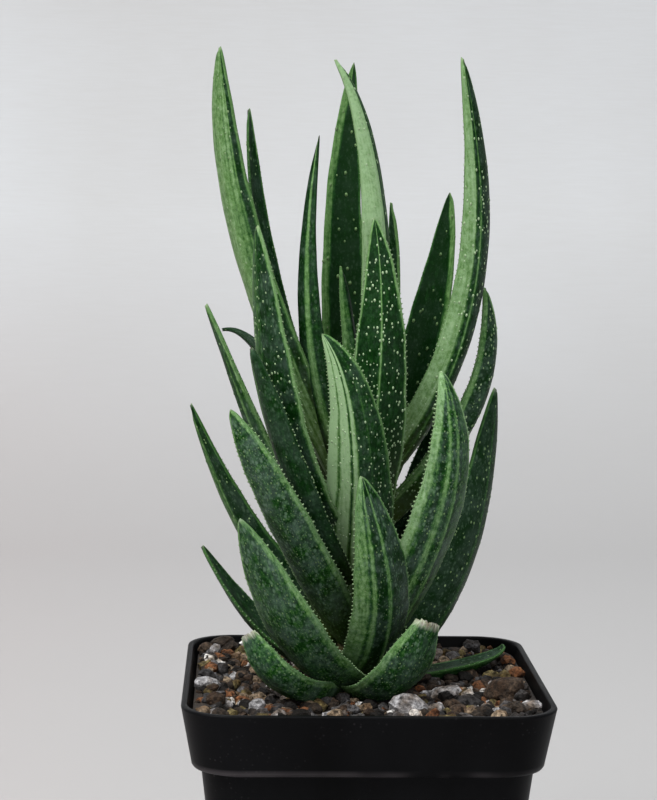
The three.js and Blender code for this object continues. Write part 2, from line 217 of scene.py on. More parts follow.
# %% [markdown]
# The leaf skin. A gasteraloe's leaf is dark bluish green, with facets, lines and edges where the green is
# missing and the leaf is pale. The pattern follows the leaf: stripes run along it, and flecks lie across
# them. So the material doesn't look at where a point is in the room. It reads numbers that each leaf
# carries on its own points: leaf_place (millimetres across and along), pale, flecked, warm and dry. The
# pale number picks a green from a row of five, and noises push it up and down, in proportion to flecked.
# The pale number is also partly painted light and shade: paler left facets, darker right facets and a
# darker channelled face stand in for how the light falls.

# %% Leaf skin material
DARK_GREEN = (0.0018, 0.0210, 0.0018)
DEEP_GREEN = (0.0070, 0.0480, 0.0062)
MID_GREEN = (0.036, 0.114, 0.022)
LIGHT_GREEN = (0.135, 0.268, 0.086)
PALE_GREEN = (0.335, 0.515, 0.268)
FLECK_GREEN = (0.115, 0.200, 0.120)
# Partly the skin's own silver and partly a painted bluish-grey sheen.
SILVER_AND_SHEEN = (0.130, 0.185, 0.165)
ROOT_YELLOW = (0.105, 0.140, 0.026)
DRY_WHITE = (0.680, 0.640, 0.560)
DRY_TAN = (0.420, 0.320, 0.240)
DRY_BROWN = (0.090, 0.050, 0.030)

GREENS = [(0.12, DARK_GREEN), (0.30, DEEP_GREEN), (0.48, MID_GREEN), (0.68, LIGHT_GREEN), (0.96, PALE_GREEN)]
WIDE_SWING, THIN_SWING, CLOUD_SWING = 0.35, 0.30, 0.25
MOTTLED_SWING, GRAIN_SWING = 1.70, 0.60
PLAIN_SHARE = 0.35

leaf_skin, recipe, shader = new_material("leaf_skin")
place = recipe.vector("leaf_place")
flecked = recipe.number("flecked")
wide_stripes = recipe.noise(recipe.stretch(place, (0.85, 0.030, 1.0)), 1.0, detail=2.0)
thin_stripes = recipe.noise(recipe.stretch(place, (2.8, 0.090, 1.0)), 1.0, detail=2.0)
clouds = recipe.noise(place, 0.40, detail=3.0)
mottling = recipe.noise(recipe.stretch(place, (1.0, 0.6, 1.0)), 1.25, detail=4.0, roughness=0.7)
grain = recipe.noise(place, 7.0, detail=3.0, roughness=0.6)


def swings(*patterns):
    """The sum of some noises, each times its swing, and shifted so that its middle changes nothing."""
    total = 0.0
    for pattern, swing in patterns:
        total = recipe.math("ADD", total, recipe.math("MULTIPLY_ADD", pattern, swing, -swing / 2))
    return total


smooth_shift = swings((wide_stripes, WIDE_SWING), (thin_stripes, THIN_SWING), (clouds, CLOUD_SWING))
rough_shift = swings((mottling, MOTTLED_SWING), (grain, GRAIN_SWING))
rough_share = recipe.math("MULTIPLY_ADD", flecked, 1 - PLAIN_SHARE, PLAIN_SHARE)
shift = recipe.math("MULTIPLY_ADD", rough_shift, rough_share, smooth_shift)
greens = recipe.ramp(recipe.math("ADD!", recipe.number("pale"), shift), GREENS)

# %% Flecks, dry ends and sheen of the leaf skin
DOT_STRETCH = (1.0, 0.62, 1.0)
DOT_FADE = 2.2


def dots(scale, spread, strength):
    """Small round marks over the leaf, as a share from 0 to the strength."""
    cells = recipe.add("ShaderNodeTexVoronoi", None, Vector=recipe.stretch(place, DOT_STRETCH), Scale=scale)
    return recipe.rescaled(cells.outputs["Distance"], spread, spread * DOT_FADE, strength, 0.0)


dot_share = recipe.math("MAXIMUM", dots(0.9, 0.14, 1.0), dots(2.0, 0.16, 0.7))
skin_colour = recipe.blend(recipe.math("MULTIPLY", dot_share, flecked), greens, FLECK_GREEN)
# Silvery patches on flecked leaves: partly the skin's own silver flecks and partly a painted bluish-grey
# sheen.
silver_sheen_places = recipe.rescaled(recipe.noise(place, 0.28, detail=4.0, roughness=0.6), 0.40, 0.68, 0.0, 1.10)
silver_sheen_share = recipe.math("MULTIPLY", silver_sheen_places, recipe.math("MULTIPLY", flecked, mottling))
skin_colour = recipe.blend(silver_sheen_share, skin_colour, SILVER_AND_SHEEN)
skin_colour = recipe.blend(recipe.number("warm"), skin_colour, ROOT_YELLOW)
dry_spots = recipe.noise(recipe.stretch(place, (1.2, 0.7, 1.0)), 1.3, detail=5.0, roughness=0.65)
dry_colour = recipe.ramp(dry_spots, [(0.30, DRY_BROWN), (0.39, DRY_TAN), (0.50, DRY_WHITE)])
skin_colour = recipe.blend(recipe.number("dry"), skin_colour, dry_colour)
recipe.fill(shader.inputs["Base Color"], skin_colour)
roughness = recipe.math("MULTIPLY_ADD", mottling, 0.30, 0.33)
recipe.fill(shader.inputs["Roughness"], recipe.math("MULTIPLY_ADD", recipe.number("dry"), 0.3, roughness))
height = recipe.math("MULTIPLY_ADD", thin_stripes, 0.6, recipe.math("MULTIPLY", mottling, 0.7))
recipe.relief(shader, recipe.math("MULTIPLY_ADD", grain, 0.4, height), strength=0.5, depth=0.25)
shader.inputs["Specular IOR Level"].default_value = 0.08
shader.inputs["Subsurface Weight"].default_value = 0.05
shader.inputs["Subsurface Radius"].default_value = (0.3 * MM, 0.8 * MM, 0.2 * MM)
print("leaf skin:", len(leaf_skin.node_tree.nodes), "nodes")

# %% [markdown]
# The teeth and the raised white spots are made of the same horny tissue as the pale edge. One simple
# material serves both. It reads how pale a tooth or spot is, and a little noise on top keeps any two from
# looking stamped.

# %% Horn material for teeth and spots
HORN_DARK = (0.030, 0.070, 0.024)
HORN_GREEN = (0.140, 0.240, 0.090)
HORN_PALE = (0.440, 0.590, 0.360)

leaf_horn, recipe, shader = new_material("leaf_horn")
horn_clouds = recipe.noise(recipe.room(), 700.0, detail=2.0)
horn_shift = recipe.math("MULTIPLY_ADD", horn_clouds, 0.7, -0.35)
horn_tone = recipe.math("ADD!", recipe.number("horn_tone"), horn_shift)
horn_colour = recipe.ramp(horn_tone, [(0.0, HORN_DARK), (0.45, HORN_GREEN), (0.95, HORN_PALE)])
recipe.fill(shader.inputs["Base Color"], horn_colour)
recipe.fill(shader.inputs["Roughness"], recipe.math("MULTIPLY_ADD", horn_clouds, 0.3, 0.40))
recipe.relief(shader, horn_clouds, strength=0.2, depth=0.1)
shader.inputs["Specular IOR Level"].default_value = 0.3

# %% [markdown]
# The leaves themselves. Each one is a curve (its spine) with a section swept along it: a channel in
# front, a keel at the back and a blunt edge on each side. Thirty-five leaves would be slow to model one by
# one, and they all follow this rule, so a table holds what differs. The numbers are those of the solid
# model, in millimetres: the way the root faces, its height on the stem, the spine's middle and tip, the
# width, the twist, and how late the leaf narrows. A True at the end marks a torn, dry end.

# %% Leaf table
SOIL_LEVEL = 67.5
STEM_AT = (-2.0, 6.0)
ROOT_RADIUS = 3.0
LEAVES = [
    ("young", 300, 48, (-3.5, 3, 74.5), (-6, 2, 91.5), 3.8, 0, 2.2),
    ("tall_left", 193, 46, (-25.7, 4, 94.7), (-31.5, 0, 136.8), 9, 35, 4.2),
    ("left_inner", 142, 46, (-19.4, 11, 83.3), (-25.3, 16, 124.6), 6.6, 3, 4.1),
    ("inner_slim", 250, 46, (-12.1, 4, 78.8), (-10.5, 6, 118.9), 7.7, 0, 1.2),
    ("tall_back", 85, 46, (-4.8, 17, 94.8), (-2.7, 22, 135), 10, 3, 2.2),
    ("tall_middle", 333, 44, (1.4, 0, 102.4), (-8.1, -3, 134.2), 11, -21, 1.15),
    ("tall_right", 349, 44, (21.4, 2, 84.2), (18.3, -2, 135.3), 9, -39, 4.2),
    ("behind_middle", 41, 42, (5.4, 9, 77.9), (4.9, 10, 104.9), 5.5, 2, 2.3),
    ("back_right", 48, 38, (13.1, 16, 73.8), (18.6, 20, 107.1), 11, 9, 2.6),
    ("left_curled", 150, 40, (-19.5, 16, 68.5), (-31, 22, 76.5), 5, 0, 2.4),
    ("middle_front", 286, 34, (2.3, -7, 72.3), (0.6, -6, 102), 13.8, -17, 1.8),
    ("right_mid", 359, 34, (23.2, 8, 60.7), (24.8, 6, 87.2), 7.2, -46, 4.2),
    ("back_1", 95, 34, (-3, 20, 64), (-3.5, 25, 84), 8, 0, 2.4),
    ("left_front", 222, 30, (-17.5, -9, 55.7), (-23.4, -10, 100.2), 14, -6, 4.2),
    ("left_outer", 192, 28, (-19.2, 1.5, 47.6), (-33.9, 0, 83.4), 10.1, 3, 4.2),
    ("back_2", 55, 28, (6.5, 18.5, 52), (11, 25, 72), 8, 0, 2.4),
    ("back_3", 128, 24, (-11, 18, 50), (-17, 25, 68), 8, 0, 2.4),
    ("left_slim", 231, 22, (-15.3, -14.2, 47.4), (-24.4, -16, 75.6), 11, -18, 4.2),
    ("front_broad", 259, 18, (-2.7, -14, 57.4), (-10.3, -17, 78.5), 17.2, 13, 1.2),
    ("back_4", 90, 16, (-2, 23, 42), (-2, 31, 60), 9, 0, 2.4),
    ("back_5", 40, 14, (11, 15, 38), (16.5, 19, 60), 9.5, 0, 2.4),
    ("left_broad", 250, 12, (-16.4, -17, 38.9), (-28.7, -20, 63.3), 9.4, 6, 3.5),
    ("far_left", 177, 12, (-23, 8, 31.1), (-37.2, 8, 61.4), 11, 50, 1.6),
    ("back_6", 145, 10, (-15, 15, 32), (-22.5, 20.5, 46), 8.5, 0, 2.4),
    ("back_7", 70, 6, (4, 23, 24), (7.5, 32, 36), 9.5, 0, 2.4),
    ("right_front", 313, 6, (15.7, -11, 42.6), (14.6, -9, 70.4), 13.7, -10, 2.9),
    ("low_far_left", 179, 5, (-20.7, 5.5, 12.3), (-34.4, 5, 31.1), 10, -13, 3.5),
    ("front_low", 291, 4, (3.6, -13.9, 22.8), (-2.2, -20, 49.9), 13.7, 9, 4.2),
    ("low_left", 250, 3, (-13.6, -15, 13.3), (-26.5, -21, 41.2), 14, -5, 4.2),
    ("back_8", 115, 3, (-9.5, 22.5, 18), (-14.5, 32, 26), 9.5, 0, 2.4),
    ("right_outer", 4, 2, (20.6, 10, 23.7), (28.6, 14, 64.9), 16, -41, 4.2),
    ("dry_left", 232, 1, (-15.6, -17, 5.4), (-24.8, -19, 17.7), 8, 28, 2, True),
    ("dry_right", 289, 1, (5.9, -14, 5.3), (12.7, -18, 20.3), 13.2, -1, 2, True),
    ("low_right", 25, 1, (24.5, 14, 3.5), (32, 18, 7), 5.5, 0, 3),
    ("back_9", 60, 1, (6.5, 20.5, 7), (12.5, 31, 11), 8, 0, 2.4),
]
print("leaves in the table:", len(LEAVES))

# %% [markdown]
# No two leaves are variegated alike, so a second table holds their markings as seen on the plant. The
# first two numbers are for the part of the leaf left of its keel and the part right of it: 0 is dark green
# and 1 is pale. These two are partly the leaf's own variegation and partly painted light and shade: the
# left parts, which face the main light, are mostly paler than the right ones. The next two are the pale
# borders' widths in millimetres. split moves the line between the parts off the keel (-1 and 1 are the
# edges), and stripes add bands along the leaf: place across, half width and paleness. spots are how
# thickly the raised ones stand, how big they are and how pale. teeth is how long the teeth are, edge_tone
# how pale the borders are, and flecked how mottled the skin is. What a leaf leaves out is usual, and the
# leaves at the back, which the photograph hides, are usual throughout.

# %% Leaf markings
USUAL = {
    "left": 0.24,
    "right": 0.16,
    "edges": (0.5, 0.6),
    "split": 0.0,
    "stripes": (),
    "spots": (0.30, 0.8, 0.45),
    "teeth": 0.7,
    "edge_tone": 0.62,
    "flecked": 0.35,
}


def marks(left, right, edges, **rest):
    return {**USUAL, "left": left, "right": right, "edges": edges, **rest}


MARKINGS = {
    "young": marks(0.45, 0.18, (0.8, 0.3), spots=(0.05, 0.6, 0.5)),
    "tall_left": marks(
        0.7, 0.12, (0.5, 0.5), split=0.7, spots=(0.22, 0.75, 0.6), teeth=0.25,
        stripes=((0.35, 0.04, 0.55), (0.60, 0.04, 0.50)),
    ),
    "left_inner": marks(0.1, 0.05, (0.7, 0.4), spots=(0.20, 0.8, 0.5), teeth=0.5),
    "inner_slim": marks(
        0.1, 0.22, (0.2, 0.2), spots=(0.10, 0.6, 0.4), teeth=0.0,
        stripes=((0.05, 0.30, 0.68), (0.45, 0.10, 0.15)),
    ),
    "tall_back": marks(0.0, 0.02, (0.4, 1.9), spots=(0.12, 1.3, 0.35), teeth=0.0, flecked=0.1),
    "tall_middle": marks(
        0.92, 0.1, (0.6, 0.5), split=0.32, spots=(0.25, 0.8, 0.75), teeth=0.25,
        stripes=((0.62, 0.07, 0.50),),
    ),
    "tall_right": marks(
        0.78, 0.04, (0.6, 0.6), split=-0.42, spots=(0.40, 0.9, 0.75), teeth=0.5,
        stripes=((-0.32, 0.05, 0.12), (-0.17, 0.08, 0.66), (0.02, 0.05, 0.05)),
    ),
    "behind_middle": marks(0.14, 0.20, (0.9, 0.5), spots=(0.30, 0.9, 0.6), teeth=0.3),
    "back_right": marks(0.0, 0.02, (1.7, 0.4), spots=(0.18, 1.2, 0.3), teeth=0.3, flecked=0.1),
    "left_curled": marks(0.05, 0.05, (0.2, 0.2), spots=(0.10, 0.6, 0.4), teeth=0.2),
    "middle_front": marks(
        0.2, 0.18, (0.65, 0.75), spots=(0.65, 0.90, 0.80), edge_tone=0.75, flecked=0.15,
        stripes=((0.0, 0.035, 0.80),),
    ),
    "right_mid": marks(0.1, 0.08, (1.2, 1.2), spots=(0.55, 0.9, 0.6), flecked=0.5),
    "left_front": marks(
        0.42, 0.14, (0.5, 0.65), spots=(0.40, 0.85, 0.68), edge_tone=0.72, flecked=0.5,
    ),
    "left_outer": marks(
        0.46, 0.24, (0.7, 0.8), flecked=0.6,
        stripes=((-0.1, 0.14, 0.14), (0.5, 0.1, 0.5)),
    ),
    "left_slim": marks(
        0.42, 0.16, (0.4, 0.3), split=-0.45, spots=(0.20, 0.6, 0.35),
        stripes=((-0.42, 0.05, 0.72),),
    ),
    "front_broad": marks(
        1.0, 0.2, (0.6, 0.7), split=-0.03, spots=(0.50, 0.75, 0.80),
        stripes=(
            (-0.64, 0.035, 0.30), (-0.46, 0.03, 0.22), (-0.26, 0.035, 0.22),
            (-0.10, 0.04, 0.95), (0.42, 0.04, 0.40),
        ),
    ),
    "left_broad": marks(
        0.29, 0.27, (0.6, 1.1), spots=(1.00, 0.60, 0.30), teeth=0.85, edge_tone=0.66, flecked=1.0,
    ),
    "far_left": marks(0.5, 0.05, (0.4, 0.4), spots=(0.20, 0.8, 0.5)),
    "right_front": marks(
        0.38, 0.36, (1.7, 0.8), spots=(0.60, 0.65, 0.38), teeth=1.0, edge_tone=0.80, flecked=0.8,
        stripes=(
            (-0.55, 0.09, 0.02), (-0.30, 0.08, 0.70), (-0.08, 0.07, 0.10),
            (0.13, 0.05, 0.74), (0.32, 0.08, 0.06), (0.55, 0.08, 0.34),
        ),
    ),
    "low_far_left": marks(0.66, 0.03, (0.5, 0.4), spots=(0.20, 0.7, 0.4)),
    "front_low": marks(
        0.66, 0.0, (0.7, 0.8), split=-0.38, spots=(0.40, 0.6, 0.40), teeth=0.8, flecked=0.7,
        stripes=((-0.22, 0.14, 0.10), (0.06, 0.10, 0.66), (0.45, 0.05, 0.30), (-0.60, 0.03, 0.25)),
    ),
    "low_left": marks(
        0.33, 0.31, (0.8, 1.1), spots=(1.00, 0.58, 0.30), teeth=0.85, edge_tone=0.66, flecked=1.0,
    ),
    "right_outer": marks(0.0, 0.1, (0.4, 0.5), stripes=((0.0, 0.08, 0.42),), teeth=0.4),
    "dry_left": marks(0.34, 0.32, (0.5, 0.9), spots=(0.80, 0.6, 0.28), teeth=0.5, flecked=1.0),
    "dry_right": marks(
        0.26, 0.28, (1.5, 0.5), spots=(0.90, 0.6, 0.34), teeth=0.6, edge_tone=0.66, flecked=0.9,
    ),
    "low_right": marks(0.28, 0.26, (0.4, 0.5), spots=(0.30, 0.6, 0.40), teeth=0.3),
}


def marking(leaf, key):
    return MARKINGS.get(leaf.name, USUAL)[key]


print("leaves with markings of their own:", len(MARKINGS))

# %% [markdown]
# The shape of one leaf, as arithmetic. The spine is a quadratic curve. At each step along it the code
# works out three directions: along the leaf, across it, and out of its channelled face. The section's
# points are then laid out in the last two. It would also be possible to bend a straight leaf along a
# curve with modifiers, but the solid model uses this same sum, so here both agree to a hair.

# %% Leaf shape
LEAF_THICKNESS = 3.2
TIP_THINNING = 0.75
EDGE_THICKNESS = 0.7
CHANNEL = 0.28
BELLY_AT = 0.3
ROOT_WIDTH = 0.8
TORN_NARROWING = 0.7
TORN_SHAPE = 4
TIP_SHAPE = 0.8
KEEL_SHAPE = 0.8
SWELL = 0.12
BACK_POINTS = 25
FACE_POINTS = 15
EDGE_POINTS = 4


def leaf_section():
    """The section's points: place across, whether at the back, and the blunt edge's own curve."""
    edge = np.linspace(90, -90, EDGE_POINTS)
    rows = [(-1.0, 0.5 - math.sin(math.radians(a)) / 2, math.cos(math.radians(a))) for a in edge]
    rows += [(s, 1.0, 0.0) for s in np.linspace(-1, 1, BACK_POINTS)[1:-1]]
    rows += [(1.0, 0.5 + math.sin(math.radians(a)) / 2, math.cos(math.radians(a))) for a in edge]
    rows += [(s, 0.0, 0.0) for s in np.linspace(1, -1, FACE_POINTS)[1:-1]]
    return np.array(rows)


def unit(vectors):
    return vectors / np.linalg.norm(vectors, axis=-1, keepdims=True)


class Leaf:
    def __init__(self, number, row):
        self.name, self.faces, self.root, middle, tip, self.width, self.twist, self.blunt = row[:8]
        self.number = number
        self.torn = len(row) > 8
        turn = math.radians(self.faces)
        self.level = np.array([-math.sin(turn), math.cos(turn), 0.0])
        root_x = STEM_AT[0] + ROOT_RADIUS * math.cos(turn)
        root_y = STEM_AT[1] + ROOT_RADIUS * math.sin(turn)
        self.start = np.array([root_x, root_y, SOIL_LEVEL + self.root])
        self.end = np.array([tip[0], tip[1], SOIL_LEVEL + tip[2]])
        self.middle = np.array([middle[0], middle[1], SOIL_LEVEL + middle[2]])
        self.bend = 2 * self.middle - (self.start + self.end) / 2

    def spine(self, t):
        t = np.atleast_1d(t)[:, None]
        return (1 - t) ** 2 * self.start + 2 * t * (1 - t) * self.bend + t**2 * self.end

    def directions(self, t):
        t = np.atleast_1d(t)[:, None]
        along = unit(2 * (1 - t) * (self.bend - self.start) + 2 * t * (self.end - self.bend))
        across = unit(self.level - (along @ self.level)[:, None] * along)
        face = np.cross(along, across)
        twist = math.radians(self.twist)
        turned = across * math.cos(twist) + face * math.sin(twist)
        return along, turned, face * math.cos(twist) - across * math.sin(twist)

    def half_width(self, t):
        belly = ROOT_WIDTH + (1 - ROOT_WIDTH) * np.sin(np.pi / 2 * np.minimum(1, t / BELLY_AT))
        narrowing = 1 - TORN_NARROWING * t**TORN_SHAPE if self.torn else (1 - t**self.blunt) ** TIP_SHAPE
        return self.width / 2 * belly * narrowing

    def length(self):
        """The spine's length, measured along sixty points of it."""
        return float(np.linalg.norm(np.diff(self.spine(np.linspace(0, 1, 60)), axis=0), axis=1).sum())


leaves = [Leaf(number, row) for number, row in enumerate(LEAVES)]
print("longest leaf:", round(max(leaf.length() for leaf in leaves), 1), "mm")

# %% [markdown]
# From the sums to a skin. The rings are joined into four-sided faces and closed at both ends. A leaf that
# is all sums looks cut from plastic, so its width wavers a little along its length. A torn end is made by
# shaking the last rings' points at random, each one together with its neighbours, so that the dry tissue
# looks crumpled and not spiky.

# %% Leaf rings
STEP_LENGTH = 1.2
LAST_RING = 0.97
TIP_RINGS = (0.98, 0.988, 0.995)
WAVERS = ((0.018, 23), (0.012, 51))
EDGE_BULGE = 0.35
KEEL_ROUNDING = 0.03
DRY_FROM = 0.955
CRUMPLE = 0.50
TORN_DEPTH = 0.6


def leaf_steps(leaf):
    body = np.linspace(0, LAST_RING, int(leaf.length() / STEP_LENGTH))
    return body if leaf.torn else np.append(body, TIP_RINGS)


def wavering_half_width(leaf, t, random):
    wavering = 1.0
    for (height, turns), start in zip(WAVERS, random.uniform(0, 6.28, 3)):
        wavering = wavering + height * np.sin(t * turns + start)
    return leaf.half_width(t) * wavering


def leaf_rings(leaf, t, half, random):
    """Every ring's points in millimetres, and how far across the leaf each one lies."""
    across, back, bulge = leaf_section().T
    swell = np.minimum(1, 2 * half / leaf.width + SWELL)
    thickness = np.maximum(EDGE_THICKNESS, LEAF_THICKNESS * (1 - TIP_THINNING * t) * swell)
    edge = np.minimum(EDGE_THICKNESS, half)
    from_keel = np.sqrt(across**2 + KEEL_ROUNDING**2)
    keel = (thickness - edge)[:, None] * np.maximum(0, 1 - from_keel)[None, :] ** KEEL_SHAPE
    on_back = np.where((back == 1.0) & (bulge < 0.01), 1.0, 0.0)
    depth = back[None, :] * edge[:, None] + on_back * keel
    sideways = across * half[:, None] + np.sign(across) * bulge * edge[:, None] * EDGE_BULGE
    lift = CHANNEL * half[:, None] * across[None, :] ** 2 - depth
    along_dir, across_dir, face_dir = leaf.directions(t)
    rings = leaf.spine(t)[:, None, :] + sideways[..., None] * across_dir[:, None, :]
    rings += lift[..., None] * face_dir[:, None, :]
    if leaf.torn:
        crumpled = smooth_step(DRY_FROM, 1.0, t)[:, None, None] * CRUMPLE
        shaken = random.normal(0, 1, rings.shape)
        rings += (shaken + np.roll(shaken, 1, axis=1) + np.roll(shaken, 2, axis=1)) / 3 * crumpled
        for ring, share in ((-1, 1.0), (-2, 0.5)):
            rings[ring] += along_dir[-1] * (random.uniform(-1, 1, (len(across), 1)) * TORN_DEPTH * share)
    return rings, sideways


# %% [markdown]
# A leaf's markings become numbers on its points. The channelled face in front gets only a share of the
# back's paleness: painted shade, for the shadow that face lies in. A band along each edge is pale, the
# root is warm, and a torn end is dry. All of this is known here, where the leaf is still rings and steps.
# A material that had to find the edge or the keel again from a finished mesh would have a hard time.

# %% Numbers for the leaf skin
PART_BLUR = 0.05
# Painted shade on the channelled face in front, which lies in shadow.
FACE_SHADE_SHARE, FACE_SHADE_LEAST = 0.20, 0.04
BAND_SOLID, BAND_GONE = 0.75, 1.15
ROOT_WARMTH, ROOT_REACH = 0.45, 0.16
DRY_FADE = 0.03
TIP_DRYNESS, TIP_DRY_FROM = 0.2, 0.985
UNDER_PALE = 0.7
MOST_SPOTS = 1.3
ROOT_BARE, TIP_BARE = (0.0, 0.06), (1.0, 0.9)


def leaf_numbers(leaf, t, section, half):
    """The markings, for each ring and each point of its section."""
    across, back, _ = section.T
    side = smooth_step(-PART_BLUR, PART_BLUR, across - marking(leaf, "split"))
    # Partly painted light and shade: the markings make the left parts paler than the right ones, as the main
    # light falls from the left.
    facet = marking(leaf, "left") * (1 - side) + marking(leaf, "right") * side
    # Painted shade: the channelled face keeps only a share of the paleness, for the shadow it lies in.
    facet = np.where(back > 0.5, facet, FACE_SHADE_SHARE * facet + FACE_SHADE_LEAST)
    for centre, reach, tone in marking(leaf, "stripes"):
        share = np.exp(-(((across - centre) / reach) ** 4)) * (back > 0.5)
        facet = facet * (1 - share) + tone * share
    left_edge, right_edge = marking(leaf, "edges")
    edge_width = np.where(across < 0, left_edge, right_edge)[None, :]
    from_edge = (1 - np.abs(across))[None, :] * half[:, None] + EDGE_THICKNESS / 2
    in_band = 1 - smooth_step(edge_width * BAND_SOLID, edge_width * BAND_GONE, from_edge)
    band = marking(leaf, "edge_tone") * in_band
    pale = np.maximum(facet[None, :], band)
    everywhere = np.ones_like(pale)
    along = t[:, None] * everywhere
    dry = TIP_DRYNESS * smooth_step(TIP_DRY_FROM, 1.0, along)
    if leaf.torn:
        dry = smooth_step(DRY_FROM, DRY_FROM + DRY_FADE, along)
    thickly, size, tone = marking(leaf, "spots")
    spotted = thickly * (1 - UNDER_PALE * band)
    spotted = spotted * smooth_step(*ROOT_BARE, along) * smooth_step(*TIP_BARE, along)
    return {
        "pale": pale,
        "warm": ROOT_WARMTH * np.exp(-((along / ROOT_REACH) ** 2)),
        "dry": dry,
        "flecked": marking(leaf, "flecked") * (1 - UNDER_PALE * pale),
        "spotted": np.clip(spotted, 0, MOST_SPOTS) * (1 - dry) / MOST_SPOTS,
        "spot_size": size * everywhere,
        "spot_tone": tone * everywhere,
    }


# %% Numbers for the teeth, and the leaf's own mesh
PATTERN_APART = 40.0
FACE_PATTERN_APART = 9.0
TEETH_FROM, TEETH_TO = 0.05, 0.93
FULL_TOOTH_HALF = 2.2
TOOTH_LEAN = 0.45
MIDDLE_OF_EDGE = (1, EDGE_POINTS + BACK_POINTS)


def tooth_sizes(leaf, t, half, count):
    """1 for a full tooth and 0 for none. Only the middle point of each blunt edge has teeth."""
    toothed = (t > TEETH_FROM) & (t < TEETH_TO)
    on_edge = np.isin(np.arange(count), MIDDLE_OF_EDGE)
    narrow = np.minimum(1, half / FULL_TOOTH_HALF)[:, None]
    return (toothed[:, None] & on_edge[None, :]) * narrow * marking(leaf, "teeth")


def leaf_piece(leaf):
    t = leaf_steps(leaf)
    random = np.random.default_rng(leaf.number + 1)
    half = wavering_half_width(leaf, t, random)
    rings, sideways = leaf_rings(leaf, t, half, random)
    tip = leaf.spine(LAST_RING if leaf.torn else 1.0)[0]
    points, faces = closed_loft(rings, leaf.spine(0)[0], tip)
    piece = piece_from_mesh(f"gasteraloe_leaf_{leaf.name}", points * MM, faces)
    section = leaf_section()
    across, back, _ = section.T
    for name, values in leaf_numbers(leaf, t, section, half).items():
        write_numbers(piece.data, name, np.append(values.ravel(), [values[0, 0], values[-1, 0]]))
    teeth = tooth_sizes(leaf, t, half, len(section))
    write_numbers(piece.data, "tooth", np.append(teeth.ravel(), [0, 0]))

    run, apart = t * leaf.length(), PATTERN_APART * leaf.number
    place = np.stack([sideways, run[:, None] + 0 * sideways, 0 * sideways + apart], axis=-1)
    place[..., 0] += FACE_PATTERN_APART * (1 - back)[None, :]
    along_dir, across_dir, _ = leaf.directions(t)
    outward = np.sign(across)[None, :, None] * across_dir[:, None, :] + TOOTH_LEAN * along_dir[:, None, :]
    lengthwise = along_dir[:, None, :] + np.zeros_like(rings)
    for name, vectors, ends in (
        ("leaf_place", place, [[0, 0, 0], [0, run[-1], apart]]),
        ("outward", outward, [[0, 0, 1], [0, 0, 1]]),
        ("lengthwise", lengthwise, along_dir[[0, -1]]),
    ):
        write_numbers(piece.data, name, np.vstack([vectors.reshape(-1, 3), ends]))
    piece.data.materials.append(leaf_skin)
    return piece


# %% [markdown]
# Teeth and spots repeat by the hundred, which is work for Geometry Nodes. The tree takes a leaf, puts a
# small four-sided cone on each point marked as a tooth, scatters low domes over the faces where the leaf
# is spotted, and joins them to the skin. It ends by making real geometry of the copies, each part with
# its own material. A particle system could scatter the spots too, but it can't follow a marked edge.

# %% Helpers for Geometry Nodes


def new_tree(name, inputs):
    """A tree with the given inputs between its geometry in and out, and each input's identifier."""
    tree = bpy.data.node_groups.new(name, "GeometryNodeTree")
    tree.interface.new_socket("Geometry", in_out="INPUT", socket_type="NodeSocketGeometry")
    identifiers = {}
    for label, kind in inputs.items():
        socket = tree.interface.new_socket(label, in_out="INPUT", socket_type=f"NodeSocket{kind}")
        identifiers[label] = socket.identifier
    tree.interface.new_socket("Geometry", in_out="OUTPUT", socket_type="NodeSocketGeometry")
    return tree, identifiers


def field(recipe, name, kind="FLOAT"):
    node = recipe.add("GeometryNodeInputNamedAttribute", {"data_type": kind}, Name=name)
    return node.outputs["Attribute"]


def directions_field(recipe, name):
    return field(recipe, name, "FLOAT_VECTOR")


# %% Geometry Nodes tree that dresses a leaf: its teeth
SMALLEST_TOOTH = 0.1
TOOTH_SPREAD = (0.65, 1.15)
TOOTH_TONE = 0.62
SPOT_SPREAD = (0.45, 1.25)
SPOT_LENGTHENED, SPOT_FLATTENED = 1.45, 0.42

leaf_tree, leaf_inputs = new_tree(
    "dress_leaf",
    {
        "Tooth length": "Float",
        "Tooth radius": "Float",
        "Spot radius": "Float",
        "Spot spacing": "Float",
        "Spots per area": "Float",
        "Seed": "Int",
        "Horn": "Material",
    },
)
recipe = Recipe(leaf_tree)
given = recipe.add("NodeGroupInput").outputs


def varied(spread):
    """A random number between the two of spread, for each copy."""
    low, high = spread
    node = recipe.add("FunctionNodeRandomValue", {"data_type": "FLOAT"}, i2=low, i3=high, Seed=given["Seed"])
    return node.outputs[1]


tooth_size = field(recipe, "tooth")
cone = recipe.add("GeometryNodeMeshCone", None, Vertices=4, Depth=given["Tooth length"])
recipe.fill(cone.inputs["Radius Bottom"], given["Tooth radius"])
outward = directions_field(recipe, "outward")
lean = recipe.add("FunctionNodeAlignRotationToVector", {"axis": "Z"}, Vector=outward)
teeth = recipe.add(
    "GeometryNodeInstanceOnPoints",
    None,
    Points=given["Geometry"],
    Selection=recipe.math("GREATER_THAN", tooth_size, SMALLEST_TOOTH),
    Instance=cone.outputs["Mesh"],
    Rotation=lean.outputs[0],
    Scale=recipe.math("MULTIPLY", tooth_size, varied(TOOTH_SPREAD)),
)

